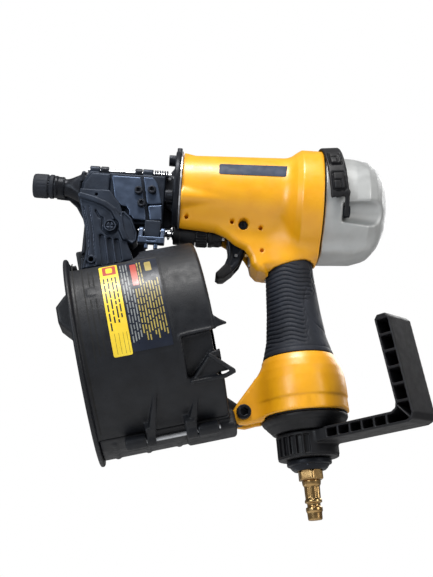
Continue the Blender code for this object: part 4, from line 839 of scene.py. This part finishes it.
def trigger(x, y, z):
    shape = outline([(-105.2, -25.8), (-108, -24.8), (-111, -24.9), (-115.5, -28), (-118.6, -33),
                     (-119.2, -38), (-117.9, -44), (-117.8, -50), (-119.8, -56), (-123.4, -60.6),
                     (-125.8, -63.4), (-126, -66), (-123.9, -67.8), (-120.5, -67.4), (-113.5, -61.5),
                     (-108.6, -55.2), (-105.8, -47), (-104.2, -38), (-103.6, -30)], x, z)
    body = meet(1.7, shape, span(y, -7.5, 7.5))
    face = meet(1.0, shape + 2.6, 6.6 - np.abs(y), span(z, -58, -33))
    slots = [meet(0.3, span(y, -3.3, 3.3), span(x, -130, -100), z + 38.4 - 30, -38.5 - z),
             meet(0.3, span(y, -3.3, 3.3), x + 115.2 - 30, -115.2 - x, span(z, -60, -20)),
             rad(x, z, TRIGGER_PIVOT) - 2.1, rad(x + 111.6, z + 49.2) - 1.6]
    return carve(0.3, body, face, *slots)


def trigger_tip(x, y, z):
    shape = outline([(-117.6, -55.6), (-119.9, -56.2), (-123.6, -60.6), (-126, -63.2), (-126.2, -66.4),
                     (-123.9, -68.1), (-120.2, -67.7), (-113.6, -61.9), (-114, -58)], x, z)
    return meet(1.9, shape, span(y, -7.8, 7.8))


def valve_body(x, y, z):
    r = rad(y, z + 45)
    body = outline([(-84, 6), (-84, 9.5), (-101.3, 9.5), (-102, 8.9), (-102, 2.3), (-98, 2.3),
                    (-98, 6)], x, r)
    return carve(0.2, body, meet(0, np.abs(r - 6.4) - 0.6, x + 101.2))


def trigger_end():
    solid("trigger_blade", "trigger", "black_steel", ["trigger"], (-127.5, -8.8, -69.5),
          (-102.5, 8.8, -23.5), 0.45, trigger, keep=0.5)
    solid("trigger_pad", "trigger", "plastic", (), (-127.8, -9, -69.5), (-112.5, 9, -54.5), 0.45,
          trigger_tip, keep=0.5)
    solid("valve_face", "tool", "machined", ["trigger_valve_body"], (-103, -10.5, -55.5),
          (-83, 10.5, -34.5), 0.45, valve_body, keep=0.5)
    screw("trigger_pivot_screw", "tool", ["trigger_pin"], "Y", TRIGGER_PIVOT, (-16.9, -15.1), 3.3, 31.0,
          "star", look="black_steel")


# ---------------------------------------------------------------- handle end and hook

def end_cap(x, y, z):
    r = rad(x, y)
    body = outline([(-169.1, 6), (-169.1, 31.2), (-171.5, 31.2), (-173.5, 30.0), (-178.5, 25.2),
                    (-180.2, 23.8), (-180.2, 13), (-199, 13), (-199, 9.1), (-188, 9.1), (-188, 6)],
                   z, r)
    lip = 0.5 * np.clip(1 - np.abs(z + 174.6) * 1.2, 0, 1)
    return meet(0.4, body, body + lip)


def hook(x, y, z):
    reach, height = 98.0, 76.0
    r = rad(x, y)
    band = outline([(16, 0.2), (reach - 6, 0.2), (reach - 1.5, 2.0), (reach, 6),
                    (reach - 8.5, height - 3), (reach - 11.5, height), (reach - 18, height),
                    (reach - 20.5, height - 3), (reach - 12.8, 15), (reach - 13.6, 11.4),
                    (reach - 17, 9.5), (26, 9.5), (25, 8.8), (16, 8.8)], x, z)
    arm = meet(1.0, band, span(y, -13.8, 13.8))
    hub = rod(z, r, -8.7, 9.0, 22.0, 1.4)
    body = merge(1.6, arm, hub)
    ribs_low = np.abs((x - 27.0) % 10.0 - 5.0) - 4.1
    ribs_high = np.abs((z - 15.0) % 11.6 - 5.8) - 4.9
    rib = np.where(z > 13.0, ribs_high, np.where(x > reach - 15, -1.0, ribs_low))
    pocket = meet(0.4, band + 1.7, rib, y - 9.5, 26.0 - x)
    corner = np.abs(x - (reach - 7.6) + (z - 8.0) * 0.9) - 0.7
    pocket = np.where((x > reach - 15) & (z < 14), np.maximum(pocket, -corner), pocket)
    spokes = np.abs((turn_of(x, y) % 15.0) - 7.5) - 5.6
    slots = meet(0.3, spokes * 0.36, span(z, -6.4, 6.6), 19.4 - r, x - 14.5)
    lip = meet(0, np.abs(z + 7.4) - 0.35, 21.4 - r)
    return carve(0.3, body, pocket, slots, rod(z, r, -20, 20, 13.4), lip)


def retainer(x, y, z):
    r = rad(x, y)
    return outline([(-199.3, 9.1), (-199.3, 15.6), (-199.8, 16), (-202.4, 16), (-203, 15.5),
                    (-203, 14.2), (-203.8, 14), (-205.8, 12.4), (-206.8, 11.2), (-206.8, 9.1)], z, r)


def plug(x, y, z):
    r = rad(x, y)
    stem = outline([(-190, 3.4), (-190, 8.8), (-207.3, 8.8), (-207.3, 5), (-213, 5), (-214, 6.8),
                    (-216.6, 6.4), (-217.6, 5.7), (-226.4, 5.5), (-227.4, 6.1), (-228.9, 6.1),
                    (-229.5, 4.7), (-231.6, 4.7), (-232.4, 5.9), (-234.8, 5.9), (-235.8, 5.3),
                    (-240.4, 5.1), (-241, 4.6), (-241, 3.4)], z, r)
    nut = meet(0.5, hexagon(x, y, 8.3), r - 9.4, span(z, -213.2, -207.1))
    flutes = 0.35 * np.clip(np.cos(np.arctan2(y, x) * 6) * 2, 0, 1) * (z < -218) * (z > -226)
    return carve(0, np.minimum(stem + flutes, nut), r - 3.4)


def handle_end():
    solid("handle_cap", "tool", "plastic", ["end_cap"], (-32.5, -32.5, -200.2), (32.5, 32.5, -168),
          0.7, end_cap, HANDLE, keep=0.4)
    solid("belt_hook", "rafter_hook", "plastic", ["rafter_hook"], (-23.5, -23.5, -10), (99.2, 23.5, 77),
          0.62, hook, HOOK, keep=0.45)
    solid("retaining_ring", "tool", "black_steel", ["hook_retainer"], (-17, -17, -208), (17, 17, -198.2),
          0.42, retainer, HANDLE, keep=0.5)
    solid("plug_body", "tool", "brass", ["air_plug"], (-10.4, -10.4, -242), (10.4, 10.4, -189), 0.36,
          plug, HANDLE, keep=0.55)


# ---------------------------------------------------------------- magazine

DRUM_LENGTH = 93.0
COVER_SPAN = (99.9, 243.1)
BASE_SPAN = (-116.3, 99.6)
HINGE_ANGLE = -116.6
HINGE = pair_of(78.0, (HINGE_ANGLE,))[0]
DRUM_WALL = 71.0


def side_of(angle, y, z):
    """Signed distance to the half-plane that starts at an angle, positive past the angle."""
    return -sin(radians(angle)) * y + cos(radians(angle)) * z


def standing_block(angle, y, z):
    """Coordinates out from and across a line at an angle from the drum's axis."""
    a = radians(angle)
    return y * cos(a) + z * sin(a), -y * sin(a) + z * cos(a)


def cover(x, y, z):
    r = rad(y, z)
    a = turn_of(y, z)
    arc = a * 1.24
    sector = np.maximum(-side_of(COVER_SPAN[0], y, z), side_of(COVER_SPAN[1], y, z))
    profile = outline([(2, 68), (2, 71), (DRUM_LENGTH - 2.2, 71), (DRUM_LENGTH - 0.6, 70.2),
                       (DRUM_LENGTH, 68.6), (DRUM_LENGTH, 68)], x, r)
    shell = meet(0.4, profile, sector)
    disc = rod(x, r, 0, 3.2, 75.0, 1.3)
    inner = meet(0.5, np.abs(r - 62) - 1.2, span(x, 2, 5.5))
    fin = meet(2.0, outline([(2, 53), (-5, 47.5), (-11.5, 41), (-11.5, 29), (-5, 21.5), (2, 15)], x, z),
               span(y, -14, 14))
    notch = outline([(4.6, 90 * 1.24), (4.6, 129.6 * 1.24), (6.0, 130.5 * 1.24), (44, 130.8 * 1.24),
                     (48, 129.4 * 1.24), (51, 126 * 1.24), (53.6, 119 * 1.24), (54.6, 90 * 1.24)], x, arc)
    body = merge(1.6, carve(0.4, shell, notch), disc, fin, inner)

    def gusset(x_top, x_low, start, wide):
        """A rib that rises out of the wall towards the hinge."""
        share = np.clip((a - start) / (241.5 - start), 0, 1)
        centre = x_top + (x_low - x_top) * share
        return meet(0.4, np.abs(x - centre) - 0.8 - wide * share, r - 70.4 - 9.5 * share ** 1.5,
                    69.5 - r, span(a, start, 243.0) * 1.2)

    ribs = [gusset(48.5, 38.4, 209.0, 1.9), gusset(74.0, 65.6, 221.0, 2.6)]
    out, across = standing_block(HINGE_ANGLE - 4.9, y, z)
    for low, high in ((35.2, 41.2), (61.8, 69.2)):
        ribs.append(meet(0.6, span(out, 69.5, 78), span(across, -4, 4), span(x, low, high)))
        ribs.append(rod(x, rad(y, z, HINGE), low, high, 4.5, 0.6))
    body = merge(0.9, body, *ribs)
    pad = meet(0.4, span(x, 13.4, 20.2), span(a, 152.3, 157.8) * 1.24, r - 71.4, 69 - r)
    label_bed = meet(0.3, span(x, 22.3, 65.2), span(a, 133.0, 196.4) * 1.24, 70.75 - r)
    body = carve(0.15, merge(0.5, body, pad), label_bed)

    pull = [(69.4, 190.8), (94.5, 189.6), (94.5, 200.5), (86.0, 201.6), (99.4, 213.4), (93.0, 215.2),
            (70.4, 215.0), (68.6, 212.5)]
    pocket = outline([(u, v * 1.24) for u, v in pull], x, arc)
    lip = meet(0.6, np.abs(pocket - 1.0) - 1.0, r - 71.9, 67 - r, span(a, 188.5, 213) * 1.24, x - 90)
    body = merge(0.8, body, lip)
    body = carve(0.3, body, meet(0.8, pocket, 59.6 - r))
    floor = meet(0.5, pocket - 1.6, np.abs(r - 64.5 + 0.055 * (arc - 236)) - 1.3, x - 89.4)
    walls = meet(0.4, np.abs(pocket - 0.8) - 0.9, span(r, 60, 70.5), x - 89.2)
    body = np.minimum(body, merge(0.8, floor, walls))
    beak_top = path([(85.4, 202.6 * 1.24), (99.0, 213.0 * 1.24)], x, arc) - 1.25
    beak_top = meet(0.5, beak_top, span(r, 71.9 - 5.0 * (x < 88), 75.4))
    beak_low = path([(71.0, 215.0 * 1.24), (93.0, 215.0 * 1.24), (99.0, 213.4 * 1.24)], x, arc) - 1.25
    beak_low = meet(0.5, beak_low, span(r, 71.9 - 8.0 * (x < 89), 75.2))
    ramp = path([(86.0, 203 * 1.24), (75.0, 213.2 * 1.24)], x, arc) - 0.9
    ramp = meet(0.4, ramp, span(r, 62, 71.5))
    bucket = outline([(85.4, 202.6 * 1.24), (99.0, 213.0 * 1.24), (71.0, 215.0 * 1.24)], x, arc)
    beak = merge(0.8, beak_top, beak_low, ramp, meet(0.4, bucket, span(r, 68.2, 70.8)))
    body = np.minimum(body, beak)
    back_fin = outline([(92.5, 182 * 1.24), (97.0, 185.4 * 1.24), (100.6, 187.4 * 1.24),
                        (100.4, 188.3 * 1.24), (96, 188.6 * 1.24), (92.5, 189.2 * 1.24)], x, arc)
    body = merge(0.8, body, meet(0.5, back_fin, span(r, 68.6, 70.9)))
    return carve(0, body, rod(x, rad(y, z, HINGE), 20, 86, 1.9))


def base(x, y, z):
    r = rad(y, z)
    sector = np.maximum(-side_of(99.6, y, z), side_of(243.7, y, z))
    wall = carve(0, outline([(3.6, 67.0), (3.6, 71.0), (DRUM_LENGTH - 1, 71.0), (DRUM_LENGTH, 70.0),
                             (DRUM_LENGTH, 67.0)], x, r), sector)
    rear = rod(x, r, DRUM_LENGTH - 3.2, DRUM_LENGTH - 0.2, 67.6, 0.6)
    neck = meet(1.0, span(x, 8, 26), span(y, 18.6, 22.6), span(z, 66, 92))
    tongue = meet(1.6, outline([(90, -66), (104, -65), (110.5, -60.5), (110.5, -54.5), (104, -50.5),
                                (90, -36)], x, z), span(y, 4.9, 15.5))
    stiffener = meet(0.8, outline([(90, -68), (98, -66.5), (101.5, -58), (90, -46)], x, z),
                     span(y, 2.0, 18.4))
    post = rod(x, r, 12, 91, 5.0, 0.5)
    hoops = merge(0, *[carve(0, meet(0.5, np.abs(r - 70.3) - 1.5, span(x, low, low + 2.6)), sector - 6)
                       for low in (12.0, 34.0, 56.0, 78.0)])
    out, across = standing_block(HINGE_ANGLE + 4.6, y, z)
    joints = []
    for low, high in ((20.7, 34.8), (69.6, 84.0)):
        joints.append(meet(0.6, span(out, 69.5, 78), span(across, -4, 4), span(x, low, high)))
        joints.append(rod(x, rad(y, z, HINGE), low, high, 4.5, 0.6))
    apron = meet(2.5, span(x, 62, 97), span(r, 62, 76.5), span(turn_of(y, z) - 254.5, -7.5, 7.5) * 1.24)
    sill = meet(1.5, span(x, 20.7, 62), span(r, 66, 73.5), span(turn_of(y, z) - 253, -5.5, 5.5) * 1.24)
    wall = merge(0.8, wall, apron, sill)
    body = merge(1.2, wall, rear, neck, tongue, stiffener, post, *joints)
    body = merge(0.6, body, hoops)
    spokes = reduce(np.minimum, [np.abs(standing_block(turn, y, z)[1]) for turn in (0, 60, 120)])
    hub = np.maximum(spokes - 1.1, 22 - r)
    web = meet(0.4, np.minimum(hub, np.abs(r - 40) - 1.1), span(x, DRUM_LENGTH - 1, DRUM_LENGTH), r - 66)
    body = merge(0.8, body, web)
    cuts = [meet(0.5, span(x, 8, 62), span(y, -20, 12), span(z, 60, 80)),
            rod(x, rad(y, z, HINGE), 21, 90, 1.9)]
    wx, wy, wz = into(WORLD, DRUM, x, y, z)
    cuts += [rad(wx, wz, ARM_BOLT) - 3.3]
    cuts += [meet(0, rad(wx, wz, spot) - 1.9, span(y, 15, 26)) for spot in NECK_SCREWS]
    return carve(0.2, body, *cuts)


def drum_radius(_):
    return 70.75


def label():
    """A yellow strip and a dark panel with plain bars and patches, and no lettering."""
    dice = Random(11)
    group = [("strip", "label_yellow", (24.0, 36.6), (133.8, 195.0), 0.22, 1.2),
             ("panel", "label_dark", (37.0, 63.6), (134.4, 194.0), 0.18, 0.8),
             ("strip_patch", "label_red", (26.2, 35.2), (134.8, 143.8), 0.27, 0.4),
             ("strip_window", "label_yellow", (28.4, 33.0), (136.6, 142.0), 0.31, 0.4),
             ("panel_patch", "label_red", (45.0, 49.2), (137.2, 156.0), 0.23, 0.4),
             ("panel_square", "label_gold", (55.0, 59.4), (137.0, 146.0), 0.23, 0.4)]
    for name, look, x_span, turn_span, thick, corner in group:
        patch(f"label_{name}", "magazine_cover", look, DRUM, x_span, turn_span, drum_radius, thick,
              corner)

    lines = [(5.5, 112, 238), (15.9, 137, 151), (18.9, 137, 151.4), (15.2, 160, 193), (18.8, 160, 193),
             (11.8, 133, 196)]
    for index, (x, start, stop) in enumerate(lines):
        patch(f"drum_line_{index}", "magazine_cover", "seal", DRUM, (x, x + 0.9), (start, stop),
              drum_radius, 0.3)

    def dashes(name, look, x, wide, start, stop):
        """A row of short bars, where the real label has a line of print."""
        at, index = start, 0
        while at < stop - 1.5:
            length = min(2.2 + dice.random() * 5.0, stop - at)
            patch(f"label_{name}_{index}", "magazine_cover", look, DRUM, (x, x + wide),
                  (at, at + length), drum_radius, 0.25)
            at += length + 0.9
            index += 1

    for index, x in enumerate((25.6, 28.4, 31.2, 33.6)):
        dashes(f"rule_{index}", "label_dark", x, 1.0, 146.5, 181.0 - 2.0 * index)
        patch(f"label_line_{index}", "magazine_cover", "label_dark", DRUM, (x + 1.3, x + 1.5),
              (182.5, 193.8), drum_radius, 0.25)
    for index in range(13):
        x = 38.2 + 1.92 * index
        look = "label_grey" if index < 4 else "label_gold"
        start = 136.0 if index < 8 else 152.0 + dice.random() * 12
        if 3 <= index < 6:
            start = 158.5
        dashes(f"bar_{index}", look, x, 0.8, start, 190.0 - dice.random() * 5)


def magazine():
    solid("drum_cover", "magazine_cover", "drum", ["magazine_cover"], (-13, -77.5, -75.8),
          (101.8, 75.8, 75.8), 0.85, cover, DRUM, keep=0.4)
    solid("drum_base", "tool", "drum", ["magazine_base"], (2, -40, -79), (112, 73, 93.2), 0.95, base,
          DRUM, keep=0.4)
    label()
    screw("arm_screw", "tool", ["arm_bolt"], "Y", ARM_BOLT, (-17.2, -12.0), 5.2, 25.0, "hex")
    for number, spot in enumerate(NECK_SCREWS, 1):
        screw(f"neck_screw_{number}", "tool", [f"magazine_screw_{number}"], "Y", spot, (15.4, 12.7),
              3.2, 10.0, "hex")


# ---------------------------------------------------------------- the CAD nodes that stay

def kept_nodes():
    dress("machined", "cylinder_sleeve", "piston", "nose_gasket", bevel=0)
    dress("seal", "bumper", "piston_ring", "cap_gasket", "end_cap_gasket", bevel=0)
    dress("steel", "driver_blade", "gate_hinge_pin", "latch_pin", "trip_rod", "pawl_pin", "lever_pin",
          "cover_hinge_pin", bevel=0.3)
    dress("steel", "head_valve_spring", "feed_spring", bevel=0)
    dress("steel", "feed_piston", "feed_pawl", "trigger_lever", bevel=0.25)
    dress("plastic", "head_valve", "nail_platform", bevel=0.3)
    dress("brass", "trigger_valve_stem", bevel=0.2)
    dress("black_steel", "arm_nut", bevel=0.4)


# ---------------------------------------------------------------- camera, floor and light

CAMERA = (-135.8, -710.3, -307.2)
AZIMUTH, ELEVATION, ROLL = -0.9, -18.2, 3.4
FOCAL_SHARE = 1000.0 / 577.0
FLOOR_Z = -0.60


def camera():
    a, e, r = radians(AZIMUTH), radians(ELEVATION), radians(ROLL)
    back = Vector((sin(a) * cos(e), -cos(a) * cos(e), sin(e)))
    right = Vector((cos(a), sin(a), 0.0))
    up = back.cross(right)
    across = cos(r) * right + sin(r) * up
    above = cos(r) * up - sin(r) * right
    lens = bpy.data.cameras.new("camera")
    lens.lens = lens.sensor_width * FOCAL_SHARE
    lens.clip_start = 0.01
    eye = bpy.data.objects.new("camera", lens)
    bpy.context.scene.collection.objects.link(eye)
    turn = Matrix((across, above, back)).transposed().to_4x4()
    eye.matrix_world = Matrix.Translation(Vector(CAMERA) * MM) @ turn
    bpy.context.scene.camera = eye


def floor():
    mesh = bpy.data.meshes.new("floor")
    size = 4.0
    mesh.from_pydata([(-size, -size, 0), (size, -size, 0), (size, size, 0), (-size, size, 0)], [],
                     [(0, 1, 2, 3)])
    ground = new_object("floor", mesh)
    ground.location = (0, 0, FLOOR_Z)
    pale = bpy.data.materials.new("floor")
    pale.use_nodes = True
    shader = pale.node_tree.nodes["Principled BSDF"]
    shader.inputs["Roughness"].default_value = 0.9
    grain = pale.node_tree.nodes.new("ShaderNodeTexNoise")
    grain.inputs["Scale"].default_value = 6.0
    tint = pale.node_tree.nodes.new("ShaderNodeMapRange")
    tint.inputs["To Min"].default_value = 0.80
    tint.inputs["To Max"].default_value = 0.84
    pale.node_tree.links.new(grain.outputs["Fac"], tint.inputs["Value"])
    pale.node_tree.links.new(tint.outputs["Result"], shader.inputs["Base Color"])
    mesh.materials.append(pale)


def lamp(name, place, target, size, power, colour):
    light = bpy.data.lights.new(name, "AREA")
    light.shape = "RECTANGLE"
    light.size, light.size_y = size
    light.energy = power
    light.color = colour
    obj = bpy.data.objects.new(name, light)
    bpy.context.scene.collection.objects.link(obj)
    obj.location = place
    aim = Vector(target) - Vector(place)
    obj.rotation_euler = aim.to_track_quat("-Z", "Y").to_euler()


def lighting():
    world = bpy.data.worlds.new("studio")
    bpy.context.scene.world = world
    world.use_nodes = True
    sky = world.node_tree.nodes["Background"]
    sky.inputs["Color"].default_value = (1.0, 1.0, 1.0, 1.0)
    seen = world.node_tree.nodes.new("ShaderNodeLightPath")
    level = world.node_tree.nodes.new("ShaderNodeMapRange")
    level.inputs["To Min"].default_value = 0.20
    level.inputs["To Max"].default_value = 1.0
    world.node_tree.links.new(seen.outputs["Is Camera Ray"], level.inputs["Value"])
    world.node_tree.links.new(level.outputs["Result"], sky.inputs["Strength"])
    centre = (-0.14, 0.0, -0.08)
    lamp("key", (-0.30, -0.45, 0.85), centre, (0.45, 0.35), 13.0, (1.0, 0.99, 0.97))
    lamp("front", (-0.95, -0.95, 0.15), centre, (0.5, 0.5), 8.0, (0.86, 0.93, 1.0))
    lamp("side", (0.75, -0.75, 0.25), centre, (0.35, 0.6), 5.0, (1.0, 0.98, 0.95))
    lamp("back", (0.5, 0.8, 0.5), centre, (0.8, 0.6), 6.0, (1.0, 1.0, 1.0))
    bpy.context.scene.view_settings.view_transform = "Standard"


camera()
floor()
lighting()
tool_body()
exhaust_end()
nose_end()
trip_and_feed()
trigger_end()
handle_end()
magazine()
kept_nodes()
